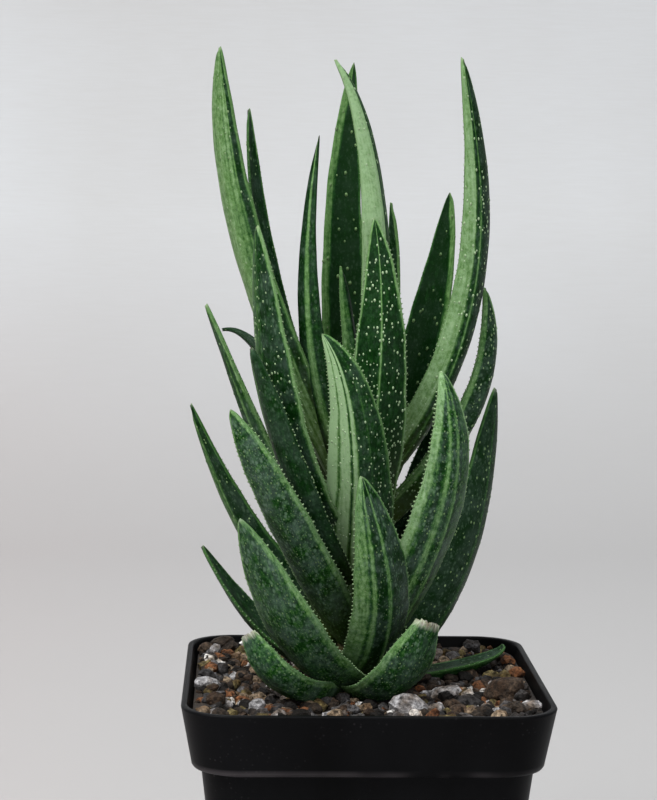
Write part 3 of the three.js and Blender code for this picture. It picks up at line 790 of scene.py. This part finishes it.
# %% The leaf tree goes on: its spots
scatter = recipe.add(
    "GeometryNodeDistributePointsOnFaces",
    {"distribute_method": "POISSON"},
    Mesh=given["Geometry"],
    Distance_Min=given["Spot spacing"],
    Density_Max=given["Spots per area"],
    Density_Factor=field(recipe, "spotted"),
    Seed=given["Seed"],
)
dome = recipe.add("GeometryNodeMeshIcoSphere", None, Subdivisions=1, Radius=given["Spot radius"])
turned = recipe.add("FunctionNodeAlignRotationToVector", {"axis": "Y", "pivot_axis": "Z"})
recipe.fill(turned.inputs["Rotation"], scatter.outputs["Rotation"])
recipe.fill(turned.inputs["Vector"], directions_field(recipe, "lengthwise"))
spot_size = recipe.math("MULTIPLY", varied(SPOT_SPREAD), field(recipe, "spot_size"))
spot_shape = recipe.add(
    "ShaderNodeCombineXYZ",
    None,
    X=spot_size,
    Y=recipe.math("MULTIPLY", spot_size, SPOT_LENGTHENED),
    Z=recipe.math("MULTIPLY", spot_size, SPOT_FLATTENED),
)
spots = recipe.add(
    "GeometryNodeInstanceOnPoints",
    None,
    Points=scatter.outputs["Points"],
    Instance=dome.outputs["Mesh"],
    Rotation=turned.outputs[0],
    Scale=spot_shape.outputs[0],
)

# %% The leaf tree ends: tones, real geometry and material
horn = recipe.add("GeometryNodeJoinGeometry")
for branch, tone in ((teeth, TOOTH_TONE), (spots, field(recipe, "spot_tone"))):
    toned = recipe.add(
        "GeometryNodeStoreNamedAttribute",
        {"domain": "INSTANCE"},
        Geometry=branch.outputs[0],
        Name="horn_tone",
        Value=tone,
    )
    leaf_tree.links.new(toned.outputs[0], horn.inputs[0])
real = recipe.add("GeometryNodeRealizeInstances", None, Geometry=horn.outputs[0])
rounded = recipe.add("GeometryNodeSetShadeSmooth", None, Geometry=real.outputs[0])
painted = recipe.add("GeometryNodeSetMaterial", None, Geometry=rounded.outputs[0], Material=given["Horn"])
dressed = recipe.add("GeometryNodeJoinGeometry")
leaf_tree.links.new(painted.outputs[0], dressed.inputs[0])
leaf_tree.links.new(given["Geometry"], dressed.inputs[0])
recipe.add("NodeGroupOutput", None, Geometry=dressed.outputs[0])
print("leaf tree:", len(leaf_tree.nodes), "nodes")

# %% [markdown]
# A modifier shows its result without changing the mesh. The tools that read this scene need plain meshes,
# so each result is read back from the evaluated object and put in the mesh's place, and the modifier is
# taken off. The first helper does that for any modifier, and the second for any tree in this file.

# %% Apply a tree to a piece


def settle(piece, modifier):
    """Makes what a modifier shows the piece's own mesh, and takes the modifier off."""
    shown = piece.evaluated_get(bpy.context.evaluated_depsgraph_get())
    result = bpy.data.meshes.new_from_object(shown)
    piece.modifiers.remove(modifier)
    piece.data = result
    result.name = piece.name


def dress(piece, tree, identifiers, values):
    modifier = piece.modifiers.new("dress", "NODES")
    modifier.node_group = tree
    for label, value in values.items():
        modifier[identifiers[label]] = value
    settle(piece, modifier)


# %% [markdown]
# Now all the leaves. A tooth is a cone set half into the edge, so about 0.3 mm of it stands out, and there
# is one every 1.2 mm. A spot is a low dome about half a millimetre wide. Both are small, but they are what
# makes the plant look rough to the touch.

# %% Make every leaf
TOOTH_LENGTH = 0.55
TOOTH_RADIUS = 0.34
SPOT_RADIUS = 0.26
SPOT_SPACING = 0.55
SPOTS_PER_AREA = 1.25

faces_made = 0
for leaf in leaves:
    piece = leaf_piece(leaf)
    values = {
        "Tooth length": TOOTH_LENGTH * MM,
        "Tooth radius": TOOTH_RADIUS * MM,
        "Spot radius": SPOT_RADIUS * MM,
        "Spot spacing": SPOT_SPACING * MM,
        "Spots per area": SPOTS_PER_AREA / MM**2,
        "Seed": leaf.number,
        "Horn": leaf_horn,
    }
    dress(piece, leaf_tree, leaf_inputs, values)
    faces_made += len(piece.data.polygons)
    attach(piece, "root")
    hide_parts(f"leaf_{leaf.name}")
print("faces in the leaves:", faces_made)

# %% [markdown]
# The stem hardly shows between the leaf roots, so the solid model's own stem stays. It gets the colour
# and grain of a young green stem with old leaf scars: rings of brown across yellowish green.

# %% Stem material
STEM_GREEN = (0.240, 0.270, 0.090)
STEM_BROWN = (0.120, 0.080, 0.040)

stem_bark, recipe, shader = new_material("stem_bark")
scars = recipe.noise(recipe.stretch(recipe.room(), (60.0, 60.0, 500.0)), 1.0, detail=3.0)
recipe.fill(shader.inputs["Base Color"], recipe.ramp(scars, [(0.42, STEM_BROWN), (0.58, STEM_GREEN)]))
recipe.fill(shader.inputs["Roughness"], recipe.math("MULTIPLY_ADD", scars, 0.3, 0.5))
recipe.relief(shader, scars, strength=0.5, depth=0.4)
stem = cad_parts["stem"]
stem.data.materials.clear()
stem.data.materials.append(stem_bark)
print("stem:", len(stem.data.polygons), "faces of the solid model, in bark")

# %% [markdown]
# The pot's square with rounded corners, in one function. It gives the outline at any height, so the same
# few lines serve the pot's walls, the soil inside them and the limit that keeps stones off the plastic.

# %% Rounded square outline
pot_low, pot_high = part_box("pot")
RIM_HALF = (pot_high.x - pot_low.x) / 2 / MM
POT_HEIGHT = pot_high.z / MM
CORNER_SHARE = 10.0 / 38.0


def square_ring(half, height, steps):
    """A ring of points round a rounded square, in millimetres, with its straight sides divided too."""
    corner = CORNER_SHARE * half
    ring = []
    for quarter in range(4):
        middle = math.radians(90 * quarter + 45)
        x = math.copysign(half - corner, math.cos(middle))
        y = math.copysign(half - corner, math.sin(middle))
        for step in range(steps + 1):
            angle = math.radians(90 * (quarter + step / steps))
            ring.append((x + corner * math.cos(angle), y + corner * math.sin(angle), height))
        last = np.array(ring[-1])
        turned = math.radians(90 * (quarter + 1))
        side = np.array([-math.sin(turned), math.cos(turned), 0.0])
        for step in range(1, steps):
            ring.append(tuple(last + side * (2 * (half - corner) * step / steps)))
    return np.array(ring)


print("rim half width:", round(RIM_HALF, 2), "mm, pot height:", round(POT_HEIGHT, 2), "mm")

# %% [markdown]
# Black nursery plastic is never one even black. It has a soft sheen, a fine moulded grain, pale dust in
# patches, small dried splashes of mineral water, and a worn line along the collar's lower edge where pots
# rub together in a tray. The worn line is a number on the pot's own points. The rest are patterns on the
# object's coordinates.

# %% Pot material
PLASTIC_BLACK = (0.0016, 0.0016, 0.0018)
PLASTIC_GREY = (0.0050, 0.0052, 0.0060)
DUST = (0.110, 0.098, 0.104)

pot_plastic, recipe, shader = new_material("pot_plastic")
room = recipe.room()
sheen = recipe.noise(recipe.stretch(room, (1.0, 1.0, 0.4)), 45.0, detail=4.0)
moulding = recipe.noise(room, 1400.0, detail=2.0)
dust_clouds = recipe.noise(room, 60.0, detail=3.0)
splash = recipe.add("ShaderNodeTexVoronoi", {"feature": "F1"}, Vector=room, Scale=800.0).outputs["Distance"]
splash_places = recipe.rescaled(dust_clouds, 0.56, 0.74, 0.0, 0.7)
splash_share = recipe.math("MULTIPLY", recipe.rescaled(splash, 0.08, 0.24, 0.35, 0.0), splash_places)
worn = recipe.math("MULTIPLY!", recipe.number("worn"), recipe.math("MULTIPLY_ADD", dust_clouds, 1.5, -0.50))
plastic = recipe.ramp(sheen, [(0.35, PLASTIC_BLACK), (0.70, PLASTIC_GREY)])
for share in (splash_share, worn):
    plastic = recipe.blend(share, plastic, DUST)
recipe.fill(shader.inputs["Base Color"], plastic)
matt = recipe.math("MULTIPLY_ADD", sheen, 0.22, 0.30)
recipe.fill(shader.inputs["Roughness"], recipe.math("ADD", matt, recipe.math("MULTIPLY", splash_share, 0.3)))
height = recipe.math("ADD", moulding, recipe.math("MULTIPLY", splash_share, 1.5))
recipe.relief(shader, height, strength=0.12, depth=0.1)
shader.inputs["Specular IOR Level"].default_value = 0.05

# %% [markdown]
# The pot is one thin shell: up the outside, over the rim and down the inside to the floor. Its profile is
# a short list of half widths and heights, and each becomes a ring. Bevelling a sharp model would round
# every edge alike, while a moulded pot has a soft rim, a rounded foot to its collar and a crisp step
# under it, so the roundings are in the profile. The four drain holes are where the solid model has them.
# They are cut last, by a boolean with four rods. Holes built into the floor's own faces would need them
# laid out round each one by hand.

# %% Pot
WALL = 1.2
FLOOR = 1.5
COLLAR_HEIGHT = 13.0
COLLAR_FOOT = POT_HEIGHT - COLLAR_HEIGHT
COLLAR_FOOT_HALF = 36.0
COLLAR_ROUNDING = 1.6
BODY_TOP_HALF = 34.0
BODY_FOOT_HALF = 27.0
OUTER_PROFILE = [
    (BODY_FOOT_HALF - 0.8, 0.0),
    (BODY_FOOT_HALF - 0.2, 0.25),
    (BODY_FOOT_HALF + 0.1, 1.0),
    (BODY_TOP_HALF - 0.1, COLLAR_FOOT - 0.6),
    (BODY_TOP_HALF, COLLAR_FOOT),
    (COLLAR_FOOT_HALF - 0.9, COLLAR_FOOT + 0.02),
    (COLLAR_FOOT_HALF - 0.5, COLLAR_FOOT + 0.15),
    (COLLAR_FOOT_HALF - 0.15, COLLAR_FOOT + 0.7),
    (COLLAR_FOOT_HALF, COLLAR_FOOT + COLLAR_ROUNDING),
    (RIM_HALF - 0.05, POT_HEIGHT - 0.55),
    (RIM_HALF, POT_HEIGHT - 0.35),
    (RIM_HALF - 0.12, POT_HEIGHT - 0.08),
    (RIM_HALF - 0.4, POT_HEIGHT),
]
INNER_PROFILE = [
    (RIM_HALF - 0.9, POT_HEIGHT),
    (RIM_HALF - WALL + 0.05, POT_HEIGHT - 0.12),
    (RIM_HALF - WALL - 0.05, POT_HEIGHT - 0.5),
    (COLLAR_FOOT_HALF - WALL, COLLAR_FOOT + COLLAR_ROUNDING),
    (BODY_TOP_HALF - WALL, COLLAR_FOOT - 1.2),
    (BODY_FOOT_HALF - WALL, FLOOR),
]
CORNER_STEPS = 12
WORN_ABOVE, WORN_REACH = 0.3, 0.6


def pot_piece():
    rings = [square_ring(half, height, CORNER_STEPS) for half, height in OUTER_PROFILE + INNER_PROFILE]
    points, faces = closed_loft(rings, [0, 0, 0], [0, 0, FLOOR])
    piece = piece_from_mesh("nursery_pot", points * MM, faces)
    worn_line = np.abs(points[:, 2] - COLLAR_FOOT - WORN_ABOVE) < WORN_REACH
    write_numbers(piece.data, "worn", worn_line.astype(float))
    piece.data.materials.append(pot_plastic)
    return piece


pot = pot_piece()
print("pot faces before drilling:", len(pot.data.polygons))

# %% Drain holes
HOLE_AT = 16.0
HOLE_RADIUS = 4.0
HOLE_SIDES = 28
DRILL_SPARE = 1.0


def drill_rods():
    """Four rods through the floor, each a little longer than the floor is thick."""
    angles = [2 * math.pi * k / HOLE_SIDES for k in range(HOLE_SIDES)]
    points, faces = [], []
    for x, y in ((1, 1), (-1, 1), (-1, -1), (1, -1)):
        low, high = len(points), len(points) + HOLE_SIDES
        for height in (-DRILL_SPARE, FLOOR + DRILL_SPARE):
            for a in angles:
                around = (HOLE_RADIUS * math.cos(a), HOLE_RADIUS * math.sin(a))
                points.append((x * HOLE_AT + around[0], y * HOLE_AT + around[1], height))
        for k in range(HOLE_SIDES):
            after = (k + 1) % HOLE_SIDES
            faces.append((low + k, low + after, high + after, high + k))
        faces.append(tuple(range(high - 1, low - 1, -1)))
        faces.append(tuple(range(high, high + HOLE_SIDES)))
    return piece_from_mesh("drill_rods", np.array(points) * MM, faces)


rods = drill_rods()
holes = pot.modifiers.new("holes", "BOOLEAN")
holes.operation = "DIFFERENCE"
holes.object = rods
settle(pot, holes)
bpy.data.objects.remove(rods)
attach(pot, "root")
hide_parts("pot")
print("pot faces:", len(pot.data.polygons))

# %% [markdown]
# The grit. Growers of such plants use a sharp mix of pumice, lava, bark and crushed stone. The stones
# share one material, which reads a number on each stone and picks its mineral from a row of colours. Two
# noises then add the speckle and the pits that stone has at this size.

# %% Stone material
MINERALS = [
    (0.00, (0.012, 0.010, 0.009)),
    (0.18, (0.036, 0.026, 0.019)),
    (0.32, (0.075, 0.050, 0.034)),
    (0.43, (0.050, 0.047, 0.048)),
    (0.52, (0.190, 0.080, 0.034)),
    (0.59, (0.160, 0.125, 0.052)),
    (0.67, (0.125, 0.120, 0.124)),
    (0.77, (0.290, 0.215, 0.145)),
    (0.87, (0.380, 0.370, 0.380)),
    (0.95, (0.720, 0.700, 0.680)),
]

SPECKLE = [(0.32, (0.15, 0.15, 0.15)), (0.50, (0.85, 0.85, 0.85)), (0.70, (2.0, 2.0, 2.0))]
STAINS = [(0.38, (0.42, 0.34, 0.27)), (0.58, (1.0, 1.0, 1.0))]

stone_mix, recipe, shader = new_material("stone_mix")
room = recipe.room()
speckle = recipe.noise(room, 1100.0, detail=4.0, roughness=0.65)
patches = recipe.noise(room, 260.0, detail=3.0)
stone_colour = recipe.ramp(recipe.number("stone_tone"), MINERALS, "CONSTANT")
for tint in (recipe.ramp(speckle, SPECKLE), recipe.ramp(patches, STAINS)):
    stone_colour = recipe.blend(1.0, stone_colour, tint, "MULTIPLY")
recipe.fill(shader.inputs["Base Color"], stone_colour)
recipe.fill(shader.inputs["Roughness"], recipe.math("MULTIPLY_ADD", speckle, 0.25, 0.68))
pits = recipe.math("MULTIPLY_ADD", speckle, 1.0, recipe.math("MULTIPLY", patches, 0.6))
recipe.relief(shader, pits, strength=1.0, depth=0.8)
shader.inputs["Specular IOR Level"].default_value = 0.25
print("stone material:", len(MINERALS), "minerals")

# %% [markdown]
# A second tree makes stones out of points. Each point carries the size, the turn and the mineral of its
# stone. The tree puts a round lump there, squashed and turned, makes the lumps real, and only then moves
# their surfaces in and out with a noise that is read where they lie. So every stone comes out different,
# which copies of one modelled stone would not.

# %% Geometry Nodes tree that makes stones
stone_tree, stone_inputs = new_tree(
    "stones_from_points",
    {"Roundness": "Int", "Lump size": "Float", "Lump height": "Float", "Mineral": "Material"},
)
recipe = Recipe(stone_tree)
given = recipe.add("NodeGroupInput").outputs
lump = recipe.add("GeometryNodeMeshIcoSphere", None, Radius=0.5, Subdivisions=given["Roundness"])
turn = recipe.add("FunctionNodeEulerToRotation", None, Euler=directions_field(recipe, "stone_turn"))
lumps = recipe.add(
    "GeometryNodeInstanceOnPoints",
    None,
    Points=given["Geometry"],
    Instance=lump.outputs["Mesh"],
    Rotation=turn.outputs[0],
    Scale=directions_field(recipe, "stone_size"),
)
real = recipe.add("GeometryNodeRealizeInstances", None, Geometry=lumps.outputs[0])
where = recipe.add("GeometryNodeInputPosition").outputs[0]
lumps_per_metre = recipe.math("DIVIDE", 1.0, given["Lump size"])
rough = recipe.add("ShaderNodeTexNoise", None, Vector=where, Scale=lumps_per_metre, Detail=2.0)
centred = recipe.add("ShaderNodeVectorMath", {"operation": "SUBTRACT"}, i0=rough.outputs["Color"])
centred.inputs[1].default_value = (0.5, 0.5, 0.5)
moved = recipe.add("ShaderNodeVectorMath", {"operation": "SCALE"}, i0=centred.outputs[0])
recipe.fill(moved.inputs["Scale"], given["Lump height"])
shaped = recipe.add("GeometryNodeSetPosition", None, Geometry=real.outputs[0], Offset=moved.outputs[0])
covered = recipe.add("GeometryNodeSetMaterial", None, Geometry=shaped.outputs[0], Material=given["Mineral"])
recipe.add("NodeGroupOutput", None, Geometry=covered.outputs[0])
print("stone tree:", len(stone_tree.nodes), "nodes")

# %% [markdown]
# The biggest stones are placed one by one, where they lie in the photograph: a pale pumice and a lumpy brown
# one to the right of the plant, white and dark ones at the left, strips of bark in front. A row gives a
# stone's place, its three sizes and its mineral, as a place on the row of colours. Everything else is
# drawn at random with a fixed seed, kept inside the pot and off the stem, part of it sunk in the soil.
# The mix is heaped a little along the pot's sides and back.

# %% Stones
BIG_STONES = [
    ((-33.0, -6.0), (5.6, 3.8, 3.4), 0.90),
    ((-31.0, -17.5), (4.0, 4.0, 3.6), 0.40),
    ((-25.5, -10.8), (3.4, 3.0, 2.6), 0.58),
    ((-22.4, -8.5), (4.0, 3.2, 2.8), 0.80),
    ((-20.2, -11.2), (2.6, 2.4, 2.2), 0.50),
    ((-14.6, -10.5), (4.6, 2.8, 1.8), 0.67),
    ((-17.4, -15.2), (2.8, 2.6, 2.2), 0.57),
    ((-12.0, -16.2), (3.6, 3.0, 2.6), 0.27),
    ((-8.2, -12.0), (3.2, 2.8, 2.4), 0.50),
    ((-7.7, -22.3), (3.4, 2.6, 2.2), 0.94),
    ((-4.4, -17.4), (6.4, 2.6, 2.2), 0.68),
    ((0.8, -14.5), (3.4, 3.0, 2.8), 0.02),
    ((-30.4, 33.0), (6.2, 4.6, 4.0), 0.28),
    ((-33.6, 29.0), (4.0, 3.4, 3.0), 0.40),
    ((-33.0, 20.5), (3.4, 3.0, 2.6), 0.77),
    ((-32.5, 10.8), (3.4, 3.0, 2.6), 0.57),
    ((8.8, -18.5), (8.6, 5.6, 5.4), 0.90),
    ((17.5, -4.0), (7.6, 4.6, 3.4), 0.88),
    ((16.0, 8.2), (3.2, 2.8, 2.2), 0.77),
    ((20.5, -0.5), (3.2, 2.8, 2.2), 0.57),
    ((22.0, -11.2), (5.4, 3.8, 3.2), 0.50),
    ((23.7, -20.3), (5.0, 3.6, 3.0), 0.30),
    ((29.6, -8.5), (9.5, 6.2, 5.8), 0.35),
    ((33.4, -22.6), (4.4, 3.2, 2.6), 0.95),
    ((33.6, 18.2), (3.4, 3.0, 2.6), 0.58),
    ((31.0, 25.0), (3.6, 3.0, 2.6), 0.60),
    ((34.0, 6.7), (3.8, 3.0, 2.6), 0.57),
    ((27.0, 33.6), (4.4, 3.4, 3.0), 0.50),
]
STONE_COUNT = 2200
STONE_SEED = 7
SHORTEST_STONE, LONGER_BY, MOSTLY_SHORT = 1.1, 3.4, 2.4
PLACED_TILT, PLACED_TURN, PLACED_RAISE = 0.25, 0.3, 0.30
LOOSE_TILT, LOOSE_RAISE = 0.6, (-0.1, 0.35)
WIDTH_SHARE, HEIGHT_SHARE = (0.6, 0.95), (0.5, 0.8)
STEM_CLEAR = 6.0
SPREAD_HALF = 35
INNER_HALF = 35.9
WALL_PILE = 2.2
PILE_FROM, PILE_TO = 25.0, 34.0


def inside_pot(x, y, size):
    """Whether a stone of this size lies clear of the pot's inner wall at soil level."""
    half = INNER_HALF - size / 2
    corner = CORNER_SHARE * half
    over_x, over_y = max(0.0, abs(x) - (half - corner)), max(0.0, abs(y) - (half - corner))
    return math.hypot(over_x, over_y) < corner


def pile(x, y):
    """How much higher the mix lies here than in the pot's middle. The front wall has no heap."""
    return WALL_PILE * float(smooth_step(PILE_FROM, PILE_TO, max(abs(x), y)))


def stone_rows():
    random = np.random.default_rng(STONE_SEED)
    rows = []
    for (x, y), size, tone in BIG_STONES:
        tilt = random.uniform(-PLACED_TILT, PLACED_TILT, 2)
        turn = (*tilt, random.uniform(-PLACED_TURN, PLACED_TURN))
        raised = PLACED_RAISE * size[2] + pile(x, y)
        rows.append(((x, y, SOIL_LEVEL + raised), size, turn, tone))
    while len(rows) < STONE_COUNT:
        x, y = random.uniform(-SPREAD_HALF, SPREAD_HALF, 2)
        length = SHORTEST_STONE + LONGER_BY * random.random() ** MOSTLY_SHORT
        if not inside_pot(x, y, length) or math.hypot(x - STEM_AT[0], y - STEM_AT[1]) < STEM_CLEAR:
            continue
        size = (length, length * random.uniform(*WIDTH_SHARE), length * random.uniform(*HEIGHT_SHARE))
        turn = (*random.uniform(-LOOSE_TILT, LOOSE_TILT, 2), random.uniform(0, 6.28))
        raised = random.uniform(*LOOSE_RAISE) * length + pile(x, y)
        rows.append(((x, y, SOIL_LEVEL + raised), size, turn, random.random()))
    return rows


# %% Grit
LUMP_SIZE = 1.3
LUMP_HEIGHT = 1.9

places, sizes, turns, tones = zip(*stone_rows())
grit = piece_from_mesh("grit_stones", np.array(places) * MM, [])
write_numbers(grit.data, "stone_size", np.array(sizes) * MM)
write_numbers(grit.data, "stone_turn", turns)
write_numbers(grit.data, "stone_tone", tones)
lump_values = {"Roundness": 2, "Lump size": LUMP_SIZE * MM, "Lump height": LUMP_HEIGHT * MM}
dress(grit, stone_tree, stone_inputs, {**lump_values, "Mineral": stone_mix})
print("stones:", len(places), "with", len(grit.data.polygons), "faces")

# %% [markdown]
# Under the stones lies finer, darker stuff. It is one body that fills the pot, from its floor up to a
# lumpy top, and it closes the gaps between the stones. It gets a material of its own: dark, dull and
# grainy. Its near-black is partly the fines' own colour and partly painted shade in the deep gaps
# between the stones.

# %% Soil material
# Near black: the fines' own colour, darkened further as painted shade in the gaps between the stones.
SOIL_DARK_AND_GAP_SHADE = (0.008, 0.006, 0.005)
SOIL_BROWN = (0.050, 0.034, 0.023)

soil_fines, recipe, shader = new_material("soil_fines")
fines = recipe.noise(recipe.room(), 900.0, detail=5.0, roughness=0.7)
recipe.fill(shader.inputs["Base Color"], recipe.ramp(fines, [(0.35, SOIL_DARK_AND_GAP_SHADE), (0.7, SOIL_BROWN)]))
recipe.fill(shader.inputs["Roughness"], recipe.math("MULTIPLY_ADD", fines, 0.2, 0.75))
recipe.relief(shader, fines, strength=1.0, depth=0.6)

# %% Soil body
SOIL_GAP = 0.3
SOIL_TOP_HALF = 35.7
SOIL_RINGS = 14
SOIL_STEPS = 6
SOIL_LUMPS = (-0.6, 0.5)
SOIL_SEED = 3


def soil_piece():
    sides = [
        (BODY_FOOT_HALF - WALL - SOIL_GAP, FLOOR + SOIL_GAP),
        (BODY_TOP_HALF - WALL - SOIL_GAP, COLLAR_FOOT - WALL),
        (COLLAR_FOOT_HALF - WALL - SOIL_GAP, COLLAR_FOOT + COLLAR_ROUNDING),
    ]
    top = [(SOIL_TOP_HALF * (1 - i / SOIL_RINGS), SOIL_LEVEL) for i in range(SOIL_RINGS)]
    rings = [square_ring(half, height, SOIL_STEPS) for half, height in sides + top]
    random = np.random.default_rng(SOIL_SEED)
    for number, ring in enumerate(rings[len(sides):]):
        ring[:, 2] += [pile(x, y) for x, y, z in ring]
        if number > 0:
            ring[:, 2] += random.uniform(*SOIL_LUMPS, len(ring))
    points, faces = closed_loft(rings, [0, 0, FLOOR + SOIL_GAP], [0, 0, SOIL_LEVEL])
    piece = piece_from_mesh("soil_body", points * MM, faces)
    piece.data.materials.append(soil_fines)
    return piece


soil = soil_piece()
for piece in (soil, grit):
    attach(piece, "root")
    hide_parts("soil")
print("soil faces:", len(soil.data.polygons))

# %% [markdown]
# A studio for the plant: a pale cloth that lies under it and sweeps up behind it without a corner, so no
# horizon shows. In the photograph it is a little darker low down and faintly pink at the lower left, with
# a weave that hardly shows. A photograph of such a cloth could be wrapped onto the floor, but noises give
# the same at any distance.

# %% Floor and backdrop
SWEEP_FRONT = -5.0
SWEEP_DEPTH = 0.55
SWEEP_RADIUS = 0.35
SWEEP_HALF = 5.0
SWEEP_TOP = 2.2
SWEEP_STEPS = 24
CLOTH_SHADED = (0.580, 0.578, 0.580)
CLOTH_LIT = (0.660, 0.672, 0.692)
CLOTH_LOW = (0.450, 0.442, 0.442)
CLOTH_PINK = (0.520, 0.410, 0.395)

backdrop, recipe, shader = new_material("backdrop_paper")
room = recipe.room()
broad = recipe.noise(recipe.stretch(room, (1.0, 1.0, 0.7)), 3.5, detail=3.0)
weave = recipe.noise(recipe.stretch(room, (60.0, 60.0, 900.0)), 1.0, detail=2.0)
# Painted light and shade: a broad noise blends the cloth's lit and shaded colours, with a faint weave on
# top.
painted_light_and_weave = recipe.math("MULTIPLY_ADD", weave, 0.14, recipe.math("MULTIPLY", broad, 0.86))
x, _, z = recipe.add("ShaderNodeSeparateXYZ", None, Vector=room).outputs
lowness = recipe.rescaled(z, 0.0, 0.15, 1.0, 0.0)
leftness = recipe.rescaled(x, -0.02, -0.30, 0.0, 0.8)
pink_share = recipe.math("MULTIPLY", leftness, recipe.math("MULTIPLY", lowness, broad))
cloth = recipe.ramp(painted_light_and_weave, [(0.34, CLOTH_SHADED), (0.66, CLOTH_LIT)])
cloth = recipe.blend(lowness, cloth, CLOTH_LOW)
recipe.fill(shader.inputs["Base Color"], recipe.blend(pink_share, cloth, CLOTH_PINK))
shader.inputs["Roughness"].default_value = 0.9
shader.inputs["Specular IOR Level"].default_value = 0.1

line = [(SWEEP_FRONT, 0.0), (SWEEP_DEPTH, 0.0)]
for step in range(1, SWEEP_STEPS + 1):
    angle = math.radians(90 * step / SWEEP_STEPS)
    line.append((SWEEP_DEPTH + SWEEP_RADIUS * math.sin(angle), SWEEP_RADIUS * (1 - math.cos(angle))))
line.append((SWEEP_DEPTH + SWEEP_RADIUS, SWEEP_TOP))
floor_points = [(x, y, z) for y, z in line for x in (-SWEEP_HALF, SWEEP_HALF)]
floor_faces = [(2 * i, 2 * i + 1, 2 * i + 3, 2 * i + 2) for i in range(len(line) - 1)]
floor = piece_from_mesh("studio_floor", floor_points, floor_faces)
floor.data.materials.append(backdrop)
print("backdrop faces:", len(floor.data.polygons))

# %% [markdown]
# Three soft lights. The main one stands high at the front left, as in the photograph, where the leaves'
# left facets are bright and their right ones dark. A broad one overhead is the room's own light, and a weak
# one low in front keeps the lowest leaves from going black. Blender's usual view transform makes dark
# greens grey and the black pot pale, so the plain one is used.

# %% Lights
LIGHTS = [
    ("light_main", (-0.55, -0.60, 1.20), 0.7, 15.5, (1.0, 0.99, 0.96)),
    ("light_sky", (0.0, -0.15, 1.70), 1.6, 21.5, (0.97, 0.99, 1.0)),
    ("light_fill", (0.35, -1.10, 0.30), 1.0, 4.0, (0.97, 0.99, 1.0)),
]
LIGHT_TARGET = Vector((0.0, 0.0, 0.12))
AIR_COLOUR = (0.86, 0.90, 0.95, 1.0)
AIR_STRENGTH = 0.22

for name, place, size, power, colour in LIGHTS:
    lamp = bpy.data.lights.new(name, "AREA")
    lamp.size = size
    lamp.energy = power
    lamp.color = colour
    light = bpy.data.objects.new(name, lamp)
    light.location = place
    light.rotation_euler = (LIGHT_TARGET - Vector(place)).to_track_quat("-Z", "Y").to_euler()
    bpy.context.scene.collection.objects.link(light)

world = bpy.data.worlds.new("studio_air")
world.use_nodes = True
world.node_tree.nodes["Background"].inputs["Color"].default_value = AIR_COLOUR
world.node_tree.nodes["Background"].inputs["Strength"].default_value = AIR_STRENGTH
bpy.context.scene.world = world
bpy.context.scene.view_settings.view_transform = "Standard"
print("lights:", len(LIGHTS))

# %% [markdown]
# Last, the scene is brought up to date.

# %% Finish
bpy.context.view_layer.update()
